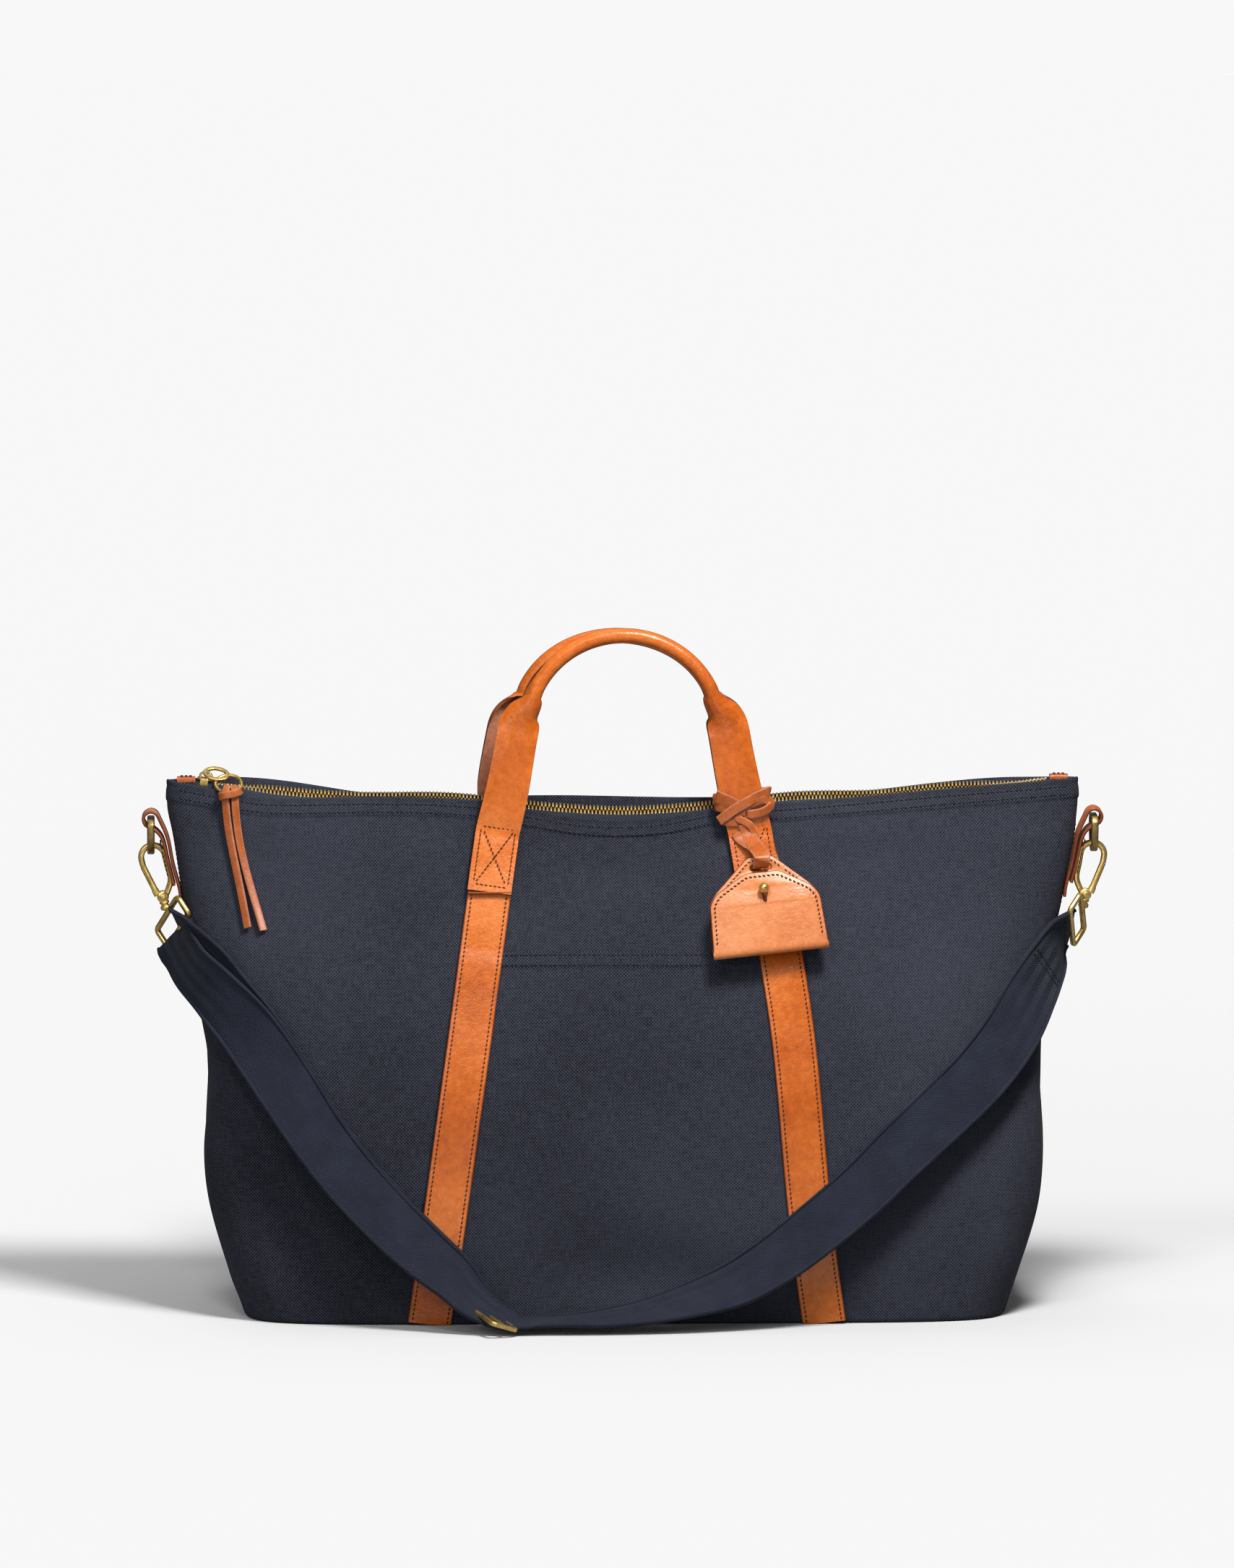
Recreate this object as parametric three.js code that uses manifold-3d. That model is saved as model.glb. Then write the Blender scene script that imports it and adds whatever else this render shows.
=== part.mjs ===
// A canvas weekender bag with leather handles, a brass zip and a clip-on webbing strap.
// Millimetres. +X is the wearer's right along the zip, -Y is the front face, +Z is up.
// The origin is the centre of the base, on the surface that the bag stands on.
import * as THREE from "three";
import { mergeVertices } from "three/addons/utils/BufferGeometryUtils.js";
import Module from "manifold-3d";

const wasm = await Module();
wasm.setup();

// ---------- driving dimensions ----------
const GAP = 0.3; // clearance kept between pieces that touch
const RIM_HEIGHT = 337; // top corners of the bag
const SHELL = 2.2; // canvas and its facing
const LEATHER = 2.4;
// [height, value] pairs of the body's outline
const HALF_WIDTH = [
  [0, 244], [45, 257], [100, 267], [170, 268], [215, 277], [268, 283], [318, 292], [337, 292],
];
const HALF_DEPTH = [[0, 100], [58, 97], [126, 85], [200, 62], [280, 32], [337, 13]];
const SQUARENESS = [[0, 7], [120, 5], [220, 3.4], [337, 3]];

const ZIP_LOW = 319; // height of the teeth at mid length
const ZIP_RADIUS = 2029; // the sagging mouth follows an arc of this radius
const ZIP_END = 274; // half length of the teeth
const RIM_DROP = 5.5; // the front rim lies this far below the teeth
const TOOTH_WIDTH = 3;
const TOOTH_GAP = 0.6; // from the middle of the zip to each row
const SLIDER_X = -268;

const STRAP_WIDTH = 28; // leather straps and handle legs
const FOOT_X = 126; // leather strap centre at the floor
const PIVOT_X = 80; // leather strap centre at the handle's root
const PIVOT_Z = 311;
const PIVOT_Y = 23.6;
const GRIP_RADIUS = 61.6;
const GRIP_CENTRE_Z = 374.4;
const GRIP_HALF_ANGLE = 1.281; // radians either side of the top
const GRIP_Y = 12; // the raised handles lean in to this distance from the middle
const ROLL = 9; // diameter of the rolled grip
const LEG_THICK = 3;

const WEBBING = 38;
const WEBBING_THICK = 2;
const RING_HINGE_X = 303.5; // where the D-rings carry the strap's hooks
const RING_HINGE_Z = 296;
const WIRE = 1.6; // radius of the hardware's wire

// ---------- materials ----------
const finish = (color, roughness, metalness) => new THREE.MeshStandardMaterial({ color, roughness, metalness });
const canvas = () => finish(0x32363f, 0.92, 0);
const facing = () => finish(0x2b2f38, 0.95, 0);
const cotton = () => finish(0x8b8577, 0.95, 0);
const leather = () => finish(0xc06a32, 0.5, 0);
const brass = () => finish(0xa8843c, 0.32, 1);
const webbing = () => finish(0x272d3d, 0.9, 0);
const board = () => finish(0x4a4238, 0.9, 0);

const bag = new THREE.Group();
bag.name = "weekender_bag";

function add(name, geometry, material) {
  const mesh = new THREE.Mesh(geometry, material);
  mesh.name = name;
  bag.add(mesh);
  return mesh;
}

// ---------- geometry helpers ----------
const vec = (x, y, z) => new THREE.Vector3(x, y, z);
const clamp = THREE.MathUtils.clamp;

// The value at a place on a line drawn smoothly through [place, value] pairs.
function along(table, place) {
  const last = table.length - 1;
  let i = 0;
  while (i < last - 1 && place > table[i + 1][0]) i += 1;
  const slope = (k) => {
    const before = table[Math.max(k - 1, 0)];
    const after = table[Math.min(k + 1, last)];
    return (after[1] - before[1]) / (after[0] - before[0]);
  };
  const span = table[i + 1][0] - table[i][0];
  const t = clamp((place - table[i][0]) / span, 0, 1);
  const rise = t * t * (3 - 2 * t);
  const bend = (1 - t) * (1 - t) * t * span * slope(i) - (1 - t) * t * t * span * slope(i + 1);
  return table[i][1] + (table[i + 1][1] - table[i][1]) * rise + bend;
}

// A closed body from a list of triangles' corner numbers, turned to face out.
function body(points, faces) {
  let volume = 0;
  faces.forEach(([a, b, c]) => {
    volume += points[a].dot(points[b].clone().cross(points[c]));
  });
  const index = faces.flatMap(([a, b, c]) => (volume < 0 ? [a, c, b] : [a, b, c]));
  const geometry = new THREE.BufferGeometry().setFromPoints(points);
  geometry.setIndex(index);
  geometry.computeVertexNormals();
  return geometry;
}

// A tube of any section: rings of points joined in order, capped, or closed end to end.
function skin(rings, closed = false) {
  const size = rings[0].length;
  const points = rings.flat();
  const faces = [];
  const steps = closed ? rings.length : rings.length - 1;
  for (let i = 0; i < steps; i += 1) {
    const here = i * size;
    const next = ((i + 1) % rings.length) * size;
    for (let j = 0; j < size; j += 1) {
      const k = (j + 1) % size;
      faces.push([here + j, here + k, next + k], [here + j, next + k, next + j]);
    }
  }
  if (!closed) {
    for (let j = 1; j < size - 1; j += 1) {
      const end = (rings.length - 1) * size;
      faces.push([0, j + 1, j], [end, end + j, end + j + 1]);
    }
  }
  return body(points, faces);
}

// A thick sheet: two grids of points, one on each face, joined round their edges.
function sheet(rows, columns, outer, inner) {
  const points = [];
  const place = (make) => {
    for (let i = 0; i <= rows; i += 1) {
      for (let j = 0; j <= columns; j += 1) points.push(make(i / rows, j / columns));
    }
  };
  place(outer);
  place(inner);
  const back = (rows + 1) * (columns + 1);
  const at = (i, j) => i * (columns + 1) + j;
  const faces = [];
  const quad = (a, b, c, d) => faces.push([a, b, c], [a, c, d]);
  for (let i = 0; i < rows; i += 1) {
    for (let j = 0; j < columns; j += 1) {
      quad(at(i, j), at(i, j + 1), at(i + 1, j + 1), at(i + 1, j));
      quad(back + at(i, j), back + at(i + 1, j), back + at(i + 1, j + 1), back + at(i, j + 1));
    }
  }
  for (let i = 0; i < rows; i += 1) {
    quad(at(i + 1, 0), back + at(i + 1, 0), back + at(i, 0), at(i, 0));
    quad(at(i, columns), back + at(i, columns), back + at(i + 1, columns), at(i + 1, columns));
  }
  for (let j = 0; j < columns; j += 1) {
    quad(at(0, j), back + at(0, j), back + at(0, j + 1), at(0, j + 1));
    quad(at(rows, j + 1), back + at(rows, j + 1), back + at(rows, j), at(rows, j));
  }
  return body(points, faces);
}

// A flat strip through stations { at, across, out, width, thick }.
function ribbon(stations) {
  const steps = stations.length - 1;
  const point = (u, v, face) => {
    const { at, across, out, width, thick } = stations[Math.round(u * steps)];
    return at.clone().addScaledVector(across, (v - 0.5) * width).addScaledVector(out, (face * thick) / 2);
  };
  return sheet(steps, 1, (u, v) => point(u, v, 1), (u, v) => point(u, v, -1));
}

// Round wire along a flat path; normal is square to the plane of the path.
function wire(points, radius, normal, closed = false, sides = 8) {
  const rings = points.map((point, i) => {
    const last = points.length - 1;
    const before = closed ? points[(i + last) % (last + 1)] : points[Math.max(i - 1, 0)];
    const after = closed ? points[(i + 1) % (last + 1)] : points[Math.min(i + 1, last)];
    const side = after.clone().sub(before).cross(normal).normalize();
    return Array.from({ length: sides }, (_, k) => {
      const angle = (2 * Math.PI * k) / sides;
      return point.clone().addScaledVector(side, radius * Math.cos(angle))
        .addScaledVector(normal, radius * Math.sin(angle));
    });
  });
  return skin(rings, closed);
}

function solidOf(geometry) {
  const bare = geometry.clone();
  bare.deleteAttribute("normal");
  bare.deleteAttribute("uv");
  const merged = mergeVertices(bare, 1e-3);
  return new wasm.Manifold(new wasm.Mesh({
    numProp: 3,
    vertProperties: merged.attributes.position.array,
    triVerts: new Uint32Array(merged.index.array),
  }));
}

function geometryOf(solid) {
  const mesh = solid.getMesh();
  const geometry = new THREE.BufferGeometry();
  geometry.setAttribute("position", new THREE.BufferAttribute(new Float32Array(mesh.vertProperties), 3));
  geometry.setIndex(Array.from(mesh.triVerts));
  geometry.computeVertexNormals();
  return geometry;
}

const join = (...pieces) => geometryOf(pieces.map(solidOf).reduce((whole, piece) => whole.add(piece)));
const cut = (piece, ...tools) => geometryOf(
  tools.map(solidOf).reduce((whole, tool) => whole.subtract(tool), solidOf(piece)),
);

function block(width, depth, height, x, y, z) {
  return new THREE.BoxGeometry(width, depth, height).translate(x, y, z);
}

// A round post or disc of the given radius and length, standing along +Z, +Y or +X.
function post(radius, length, axis, x, y, z, sides = 16) {
  const geometry = new THREE.CylinderGeometry(radius, radius, length, sides);
  if (axis === "z") geometry.rotateX(Math.PI / 2);
  if (axis === "x") geometry.rotateZ(Math.PI / 2);
  return geometry.translate(x, y, z);
}

// ---------- the body's shape ----------
const zipHeight = (x) => ZIP_LOW + ZIP_RADIUS - Math.sqrt(ZIP_RADIUS * ZIP_RADIUS - x * x);

// How far the rim hangs below the top corners. The front (side -1) sags more than the back.
function dip(side, x) {
  if (side < 0) return RIM_HEIGHT - (zipHeight(x) - RIM_DROP);
  return 13 * (1 - THREE.MathUtils.smoothstep(Math.abs(x), 120, 255));
}

const settle = (side, x, level) => level - dip(side, x) * (level / RIM_HEIGHT) ** 3;

// A point of the canvas: turn runs 0 to 1 from the right seam to the left, level from base to rim.
function canvasPoint(side, turn, level, inset) {
  const half = along(HALF_WIDTH, level) - inset;
  const deep = along(HALF_DEPTH, level) - inset;
  const power = 2 / along(SQUARENESS, level);
  const angle = Math.PI * turn;
  const x = half * Math.sign(Math.cos(angle)) * Math.abs(Math.cos(angle)) ** power;
  const y = side * (GAP / 2 + deep * Math.sin(angle) ** power);
  return vec(x, y, settle(side, x, level));
}

// Depth of the canvas's outside at a place on the front (-1) or back (+1).
function depthAt(side, x, z, inset = 0) {
  let level = z;
  for (let i = 0; i < 4; i += 1) level = z + dip(side, x) * (level / RIM_HEIGHT) ** 3;
  level = clamp(level, 0, RIM_HEIGHT);
  const half = along(HALF_WIDTH, level) - inset;
  const power = along(SQUARENESS, level);
  const share = Math.max(1 - (Math.abs(x) / half) ** power, 0) ** (1 / power);
  const reach = (along(HALF_DEPTH, level) - inset) * share;
  return side * (GAP / 2 + reach);
}

function outward(side, x, z) {
  const step = 1;
  const acrossX = (depthAt(side, x + step, z) - depthAt(side, x - step, z)) / (2 * step);
  const upZ = (depthAt(side, x, z + step) - depthAt(side, x, z - step)) / (2 * step);
  return vec(-acrossX, 1, -upZ).multiplyScalar(side).normalize();
}

// A point standing off the canvas by lift.
function onFace(side, x, z, lift) {
  return vec(x, depthAt(side, x, z), z).addScaledVector(outward(side, x, z), lift);
}

// A patch that follows the face between two edges, from one height to another.
function patch(side, edges, low, high, lift, thick, rows, columns) {
  const point = (up, over, off) => {
    const z = low + (high - low) * up;
    const [left, right] = edges(z);
    return onFace(side, left + (right - left) * over, z, off);
  };
  return sheet(rows, columns, (u, v) => point(u, v, lift), (u, v) => point(u, v, lift + thick));
}

// ---------- canvas, base and lining ----------
const PANEL_COLUMNS = 24;
const LEVELS = [0, 28, 58, 92, 126, 163, 200, 240, 280, 310, RIM_HEIGHT];
const PANEL_ROWS = LEVELS.length - 1;
for (const [name, side] of [["front_panel", -1], ["back_panel", 1]]) {
  const level = (up) => LEVELS[Math.round(up * PANEL_ROWS)];
  add(name, sheet(
    PANEL_ROWS, PANEL_COLUMNS,
    (up, turn) => canvasPoint(side, turn, level(up), 0),
    (up, turn) => canvasPoint(side, turn, level(up), SHELL),
  ), canvas());
}

// The plan of the body at a level, drawn in by inset.
function plan(level, inset) {
  const half = along(HALF_WIDTH, level) - inset;
  const deep = along(HALF_DEPTH, level) - inset;
  const power = 2 / along(SQUARENESS, level);
  const count = 2 * PANEL_COLUMNS;
  return Array.from({ length: count }, (_, k) => {
    const angle = (2 * Math.PI * k) / count;
    const [c, s] = [Math.cos(angle), Math.sin(angle)];
    const x = half * Math.sign(c) * Math.abs(c) ** power;
    return vec(x, deep * Math.sign(s) * Math.abs(s) ** power, settle(k > PANEL_COLUMNS ? -1 : 1, x, level));
  });
}
const lifted = (ring, z) => ring.map((p) => vec(p.x, p.y, z));

const BASE_THICK = 2.2;
const BOARD_THICK = 3;
const baseRing = plan(0, SHELL + GAP);
add("base_panel", skin([lifted(baseRing, 0), lifted(baseRing, BASE_THICK)]), canvas());
const boardRing = plan(0, SHELL + 4);
const boardLow = BASE_THICK + GAP;
add("base_board", skin([lifted(boardRing, boardLow), lifted(boardRing, boardLow + BOARD_THICK)]), board());

// The lining is an open sack hung just inside the canvas.
const LINING_INSET = 4.5;
const LINING_THICK = 1;
const liningLow = boardLow + BOARD_THICK + GAP;
const liningLevels = [liningLow, ...LEVELS.slice(1, -1)];
const outsideRings = liningLevels.map((level) => plan(level, LINING_INSET));
const insideRings = liningLevels.map((level, i) => {
  const ring = plan(level, LINING_INSET + LINING_THICK);
  return i === 0 ? lifted(ring, level + LINING_THICK) : ring;
}).reverse();
add("lining", skin([...outsideRings, ...insideRings]), cotton());

// A flat pocket stitched to the back of the lining, inside.
const innerFace = (x, z, off) => vec(x, depthAt(1, x, z, LINING_INSET + LINING_THICK) - off, z);
add("inner_pocket", sheet(
  5, 8,
  (u, v) => innerFace(-100 + 200 * v, 130 + 120 * u, 1.6),
  (u, v) => innerFace(-100 + 200 * v, 130 + 120 * u, 2.8),
), cotton());

// ---------- leather straps, handle roots and the slip pocket ----------
const strapX = (z) => FOOT_X + ((PIVOT_X - FOOT_X) * z) / PIVOT_Z;
const STRAP_FOOT = 5;
const ROOT_LOW = 268; // lower edge of the stitched handle root
const ROOT_HIGH = 307;

function strapStations(side, hand, low, high, lift, thick, steps) {
  return Array.from({ length: steps + 1 }, (_, i) => {
    const z = low + ((high - low) * i) / steps;
    const x = hand * strapX(z);
    const out = outward(side, x, z);
    const run = vec(hand * strapX(z + 1), depthAt(side, hand * strapX(z + 1), z + 1), z + 1)
      .sub(vec(x, depthAt(side, x, z), z)).normalize();
    const across = run.clone().cross(out).normalize();
    return { at: onFace(side, x, z, lift + thick / 2), across, out, width: STRAP_WIDTH, thick };
  });
}

const STRAP_LIFT = 0.5;
const ROOT_LIFT = STRAP_LIFT + LEATHER + 0.5;
for (const [face, side] of [["front", -1], ["back", 1]]) {
  for (const [hand, sign] of [["left", -1], ["right", 1]]) {
    const strap = strapStations(side, sign, STRAP_FOOT, ROOT_HIGH - 2, STRAP_LIFT, LEATHER, 14);
    add(`${face}_strap_${hand}`, ribbon(strap), leather());
    const root = strapStations(side, sign, ROOT_LOW, ROOT_HIGH, ROOT_LIFT, LEG_THICK, 3);
    add(`${face}_handle_root_${hand}`, ribbon(root), leather());
  }
}

const POCKET_TOP = 232;
const pocketEdges = (z) => {
  const reach = strapX(z) - STRAP_WIDTH / 2 - 1.5;
  return [-reach, reach];
};
add("slip_pocket", patch(-1, pocketEdges, 6, POCKET_TOP, 0.5, 1.4, 8, 8), canvas());

// ---------- handles ----------
// A raised handle: two flat legs that narrow into a rolled grip, all in one leaning plane.
function handle(side) {
  const leg = 6;
  const arc = 10;
  const stations = [];
  const endX = GRIP_RADIUS * Math.sin(GRIP_HALF_ANGLE);
  const endZ = GRIP_CENTRE_Z + GRIP_RADIUS * Math.cos(GRIP_HALF_ANGLE);
  const start = PIVOT_Z + 4;
  const legX = (z) => PIVOT_X + ((endX - PIVOT_X) * (z - PIVOT_Z)) / (endZ - PIVOT_Z);
  for (let i = 0; i <= leg; i += 1) {
    const z = start + ((endZ - start) * i) / leg;
    stations.push({ x: -legX(z), z, flat: 1 - THREE.MathUtils.smoothstep(z, endZ - 32, endZ) });
  }
  for (let i = 1; i < arc; i += 1) {
    const angle = GRIP_HALF_ANGLE * ((2 * i) / arc - 1);
    const height = GRIP_CENTRE_Z + GRIP_RADIUS * Math.cos(angle);
    stations.push({ x: GRIP_RADIUS * Math.sin(angle), z: height, flat: 0 });
  }
  for (let i = leg; i >= 0; i -= 1) stations.push({ ...stations[i], x: -stations[i].x });
  const top = GRIP_CENTRE_Z + GRIP_RADIUS;
  const lean = (z) => side * (PIVOT_Y + ((GRIP_Y - PIVOT_Y) * (z - PIVOT_Z)) / (top - PIVOT_Z));
  const up = vec(0, side * (GRIP_Y - PIVOT_Y), top - PIVOT_Z).normalize();
  const out = vec(0, up.z, -up.y);
  const centre = stations.map(({ x, z }) => vec(x, lean(z), z));
  const rings = stations.map(({ flat }, i) => {
    const before = centre[Math.max(i - 1, 0)];
    const after = centre[Math.min(i + 1, centre.length - 1)];
    const across = after.clone().sub(before).cross(out).normalize();
    const width = ROLL + (STRAP_WIDTH - ROLL) * flat;
    const thick = ROLL + (LEG_THICK - ROLL) * flat;
    const power = 1 - 0.7 * flat; // 1 is round, small is square
    return Array.from({ length: 12 }, (_, k) => {
      const angle = (2 * Math.PI * k) / 12;
      const [c, s] = [Math.cos(angle), Math.sin(angle)];
      const u = Math.sign(Math.round(c * 1e6)) * Math.abs(c) ** power;
      const v = Math.sign(Math.round(s * 1e6)) * Math.abs(s) ** power;
      return centre[i].clone().addScaledVector(across, (u * width) / 2).addScaledVector(out, (v * thick) / 2);
    });
  });
  return skin(rings);
}
add("front_handle", handle(-1), leather());
add("back_handle", handle(1), leather());

// ---------- zip ----------
const TOOTH_THICK = 2.4;
const SLIDER_LENGTH = 10;
const ZIP_STEPS = 24;
const STOP_GAP = 0.5;
for (const [name, side] of [["front", -1], ["back", 1]]) {
  const run = (u) => -ZIP_END + 2 * ZIP_END * u;
  const teeth = Array.from({ length: ZIP_STEPS + 1 }, (_, i) => {
    const x = run(i / ZIP_STEPS);
    const y = side * (TOOTH_GAP + TOOTH_WIDTH / 2);
    const at = vec(x, y, zipHeight(x));
    return { at, across: vec(0, 1, 0), out: vec(0, 0, 1), width: TOOTH_WIDTH, thick: TOOTH_THICK };
  });
  add(`zip_teeth_${name}`, ribbon(teeth), brass());
  const inner = TOOTH_GAP + TOOTH_WIDTH + GAP;
  const tape = (u, over, off) => {
    const x = run(u);
    const rim = settle(side, x, RIM_HEIGHT);
    const outer = Math.max(Math.abs(depthAt(side, x, rim - 3, SHELL)) - 0.8, inner + 0.8);
    const y = inner + (outer - inner) * over;
    return vec(x, side * y, zipHeight(x) + (rim - 3 - zipHeight(x)) * over + off);
  };
  const cloth = sheet(ZIP_STEPS, 1, (u, v) => tape(u, v, -0.5), (u, v) => tape(u, v, 0.5));
  add(`zip_tape_${name}`, cloth, facing());
}

// Leather tabs folded over both ends of the zip.
for (const [hand, sign] of [["left", -1], ["right", 1]]) {
  const x = sign * (ZIP_END + STOP_GAP + 5.75);
  const z = zipHeight(x);
  add(`zip_end_tab_${hand}`, block(11.5, 6.4, 7, x, 0, z + 1.5), leather());
}

// The slider: a plate above and below the teeth, joined between the two rows, with a bridge on top.
const sliderZ = zipHeight(SLIDER_X);
const pathSlope = Math.asin(SLIDER_X / ZIP_RADIUS);
const onZip = (geometry) => geometry.rotateY(-pathSlope).translate(SLIDER_X, 0, sliderZ);
const plateZ = TOOTH_THICK / 2 + GAP + 0.7;
add("zip_slider", onZip(join(
  block(SLIDER_LENGTH, 7.8, 1.4, 0, 0, plateZ),
  block(SLIDER_LENGTH, 7.8, 1.4, 0, 0, -plateZ),
  block(3, 0.6, 2 * plateZ, 0, 0, 0),
  block(1.6, 2.6, 3.2, -3.4, 0, plateZ + 2),
  block(1.6, 2.6, 3.2, 3.4, 0, plateZ + 2),
  block(8.4, 2.6, 1.2, 0, 0, plateZ + 3.9),
)), brass());

// The oval pull lies along the zip. Its near rim turns under the slider's bridge.
const PULL_LENGTH = 15;
const PULL_RIM = 1.7;
const PULL_THICK = 1.3;
const pullZ = plateZ + 1.9;
function pullPlate() {
  const outline = new THREE.Shape();
  outline.absellipse(0, 0, PULL_LENGTH / 2, 5.6, 0, 2 * Math.PI);
  const window = new THREE.Path();
  window.absellipse(0.1, 0, PULL_LENGTH / 2 - PULL_RIM, 5.6 - PULL_RIM, 0, 2 * Math.PI, true);
  outline.holes.push(window);
  return new THREE.ExtrudeGeometry(outline, { depth: PULL_THICK, bevelEnabled: false, curveSegments: 16 });
}
add("zip_pull", onZip(pullPlate().translate(PULL_LENGTH / 2 - 1, 0, pullZ - PULL_THICK / 2)), brass());

// ---------- pull ring and tassel ----------
const PULL_RING = { radius: 8.4, wire: 0.95, tilt: 0.6 };
const ringCentre = vec(SLIDER_X + 15, -6.3, sliderZ + pullZ - 4.4);
add("pull_ring", new THREE.TorusGeometry(PULL_RING.radius, PULL_RING.wire, 8, 24)
  .rotateX(PULL_RING.tilt).translate(...ringCentre.toArray()), brass());

// Two leather strips hang from a wrapped knot over the ring's front edge.
const KNOT = vec(ringCentre.x + 1.5, -16.6, ringCentre.z - 8.6);
function strip(dx, drop, lean) {
  return ribbon(Array.from({ length: 7 }, (_, i) => {
    const z = KNOT.z - 3 - (drop * i) / 6;
    const x = KNOT.x + dx + lean * (i / 6) ** 1.5;
    const clear = depthAt(-1, x, Math.min(z, 318)) - 3.2;
    const y = i === 0 ? KNOT.y : Math.min(KNOT.y, clear);
    return { at: vec(x, y, z), across: vec(1, 0, 0), out: vec(0, 1, 0), width: 5.4, thick: 1.8 };
  }));
}
add("tassel", join(
  block(13, 3.6, 7, KNOT.x, KNOT.y, KNOT.z),
  strip(-3.1, 84, 8),
  strip(3.1, 85, 17),
), leather());

// ---------- luggage tag ----------
const TAG_LEAN = -0.36; // radians: the tag lies back against the sloping front
const TAG_ROLL = 0.11; // and hangs a little askew
const TAG_CENTRE = vec(91, -58, 251);
const onTag = (geometry) => geometry.rotateX(Math.PI / 2).rotateY(-TAG_ROLL).rotateX(TAG_LEAN)
  .translate(...TAG_CENTRE.toArray());

function tagOutline(peak, low) {
  const shape = new THREE.Shape();
  shape.moveTo(-36, low);
  shape.lineTo(36, low);
  shape.lineTo(36, 21);
  shape.lineTo(9, peak);
  shape.lineTo(-9, peak);
  shape.lineTo(-36, 21);
  shape.closePath();
  return shape;
}
const slit = (width, height, x, y) => {
  const path = new THREE.Path();
  path.moveTo(x - width / 2, y - height / 2);
  path.lineTo(x - width / 2, y + height / 2);
  path.lineTo(x + width / 2, y + height / 2);
  path.lineTo(x + width / 2, y - height / 2);
  path.closePath();
  return path;
};
const plate = (shape, depth, off) => new THREE.ExtrudeGeometry(
  shape, { depth, bevelEnabled: false, curveSegments: 8 },
).translate(0, 0, off);

const STUD = { y: 21, neck: 1.3, ball: 2.9 };
const backOutline = tagOutline(41, -21);
backOutline.holes.push(slit(13, 3.4, 0, 34));
const neckHole = new THREE.Path();
neckHole.absellipse(0, STUD.y, STUD.neck + GAP, STUD.neck + GAP, 0, 2 * Math.PI, true);
backOutline.holes.push(neckHole);
add("tag_back", onTag(plate(backOutline, 2.2, -2.6)), leather());
const coverOutline = tagOutline(31, -18);
const keyhole = new THREE.Path();
keyhole.absellipse(0, STUD.y, STUD.ball + 0.6, STUD.ball + 0.6, 0, 2 * Math.PI, true);
coverOutline.holes.push(keyhole);
add("tag_cover", onTag(plate(coverOutline, 2.2, 0.4)), leather());
const studProfile = [[0, -3.6], [3.4, -3.6], [3.4, -2.9], [1.3, -2.9], [1.3, 3.6]]
  .map(([r, h]) => new THREE.Vector2(r, h));
const ballArc = Array.from({ length: 7 }, (_, i) => {
  const angle = -1.1 + (i * (Math.PI / 2 + 1.1)) / 6;
  return new THREE.Vector2(i === 6 ? 0 : STUD.ball * Math.cos(angle), 6.2 + STUD.ball * Math.sin(angle));
});
add("tag_stud", onTag(new THREE.LatheGeometry([...studProfile, ...ballArc], 14)
  .rotateX(Math.PI / 2).translate(0, STUD.y, 0)), brass());

// A lace tied round the handle's right leg, and its strap through the tag's slot.
const LACE_Z = 327;
const laceX = PIVOT_X - 4;
const laceY = -PIVOT_Y + 1.3;
const collar = cut(
  block(STRAP_WIDTH + 8, 8.2, 11, laceX, laceY, LACE_Z),
  block(STRAP_WIDTH + 4.6, 5, 13, laceX, laceY, LACE_Z),
);
add("tag_tie", join(collar, block(15, 7, 13, laceX + 1, laceY - 6.9, LACE_Z)), leather());
const loopTop = vec(laceX + 4, -34.3, 323);
const loopLow = vec(84.5, -38.4, 286.5);
add("tag_loop", ribbon([0, 0.5, 1].map((t) => ({
  at: loopTop.clone().lerp(loopLow, t),
  across: vec(1, 0, 0),
  out: vec(0, 0.98, 0.19),
  width: 10.7,
  thick: 1.8,
}))), leather());

// ---------- side tabs, D-rings, hooks and the shoulder strap ----------
const SIDES = [
  { hand: "left", sign: -1, lean: 0.24, ringSkew: 0.33 },
  { hand: "right", sign: 1, lean: 0.17, ringSkew: 0.1 },
];
const TAB_WIDTH = 20;
const D_HALF = 13;
const EYE_DROP = 45.2; // from the hook's top bar to the square ring's top bar

function hookParts(hand, sign, lean) {
  // Drawn hanging straight down from its top bar at the origin, in the XZ plane.
  const place = (geometry) => geometry.rotateY(sign * lean).translate(sign * RING_HINGE_X, 0, RING_HINGE_Z);
  const half = 7.6;
  const long = 35;
  const loop = [];
  for (let i = 0; i <= 10; i += 1) {
    const angle = Math.PI * (i / 10);
    loop.push(vec(-sign * half * Math.cos(angle), 0, -half + half * Math.sin(angle)));
  }
  const spine = [vec(-sign * 2.2, 0, -long + 1), vec(-sign * 5, 0, -long + 6), vec(-sign * half, 0, -22), ...loop,
    vec(sign * half, 0, -12)];
  const frame = join(
    wire(spine, 1.6, vec(0, 1, 0)),
    post(3.6, 5, "y", 0, 0, -long + 1, 14),
    post(2.2, 5, "z", 0, 0, -long - 4, 14),
  );
  const clear = cut(frame, block(7, 2.6, 8, sign * 3.6, 0, -long + 3.6));
  add(`hook_${hand}`, place(clear), brass());
  const top = vec(sign * half, 0, -14.4);
  const root = vec(sign * 3.4, 0, -long + 2.6);
  add(`gate_${hand}`, place(wire([root, root.clone().lerp(top, 0.5), top], 1.1, vec(0, 1, 0))), brass());
  return place;
}

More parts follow.
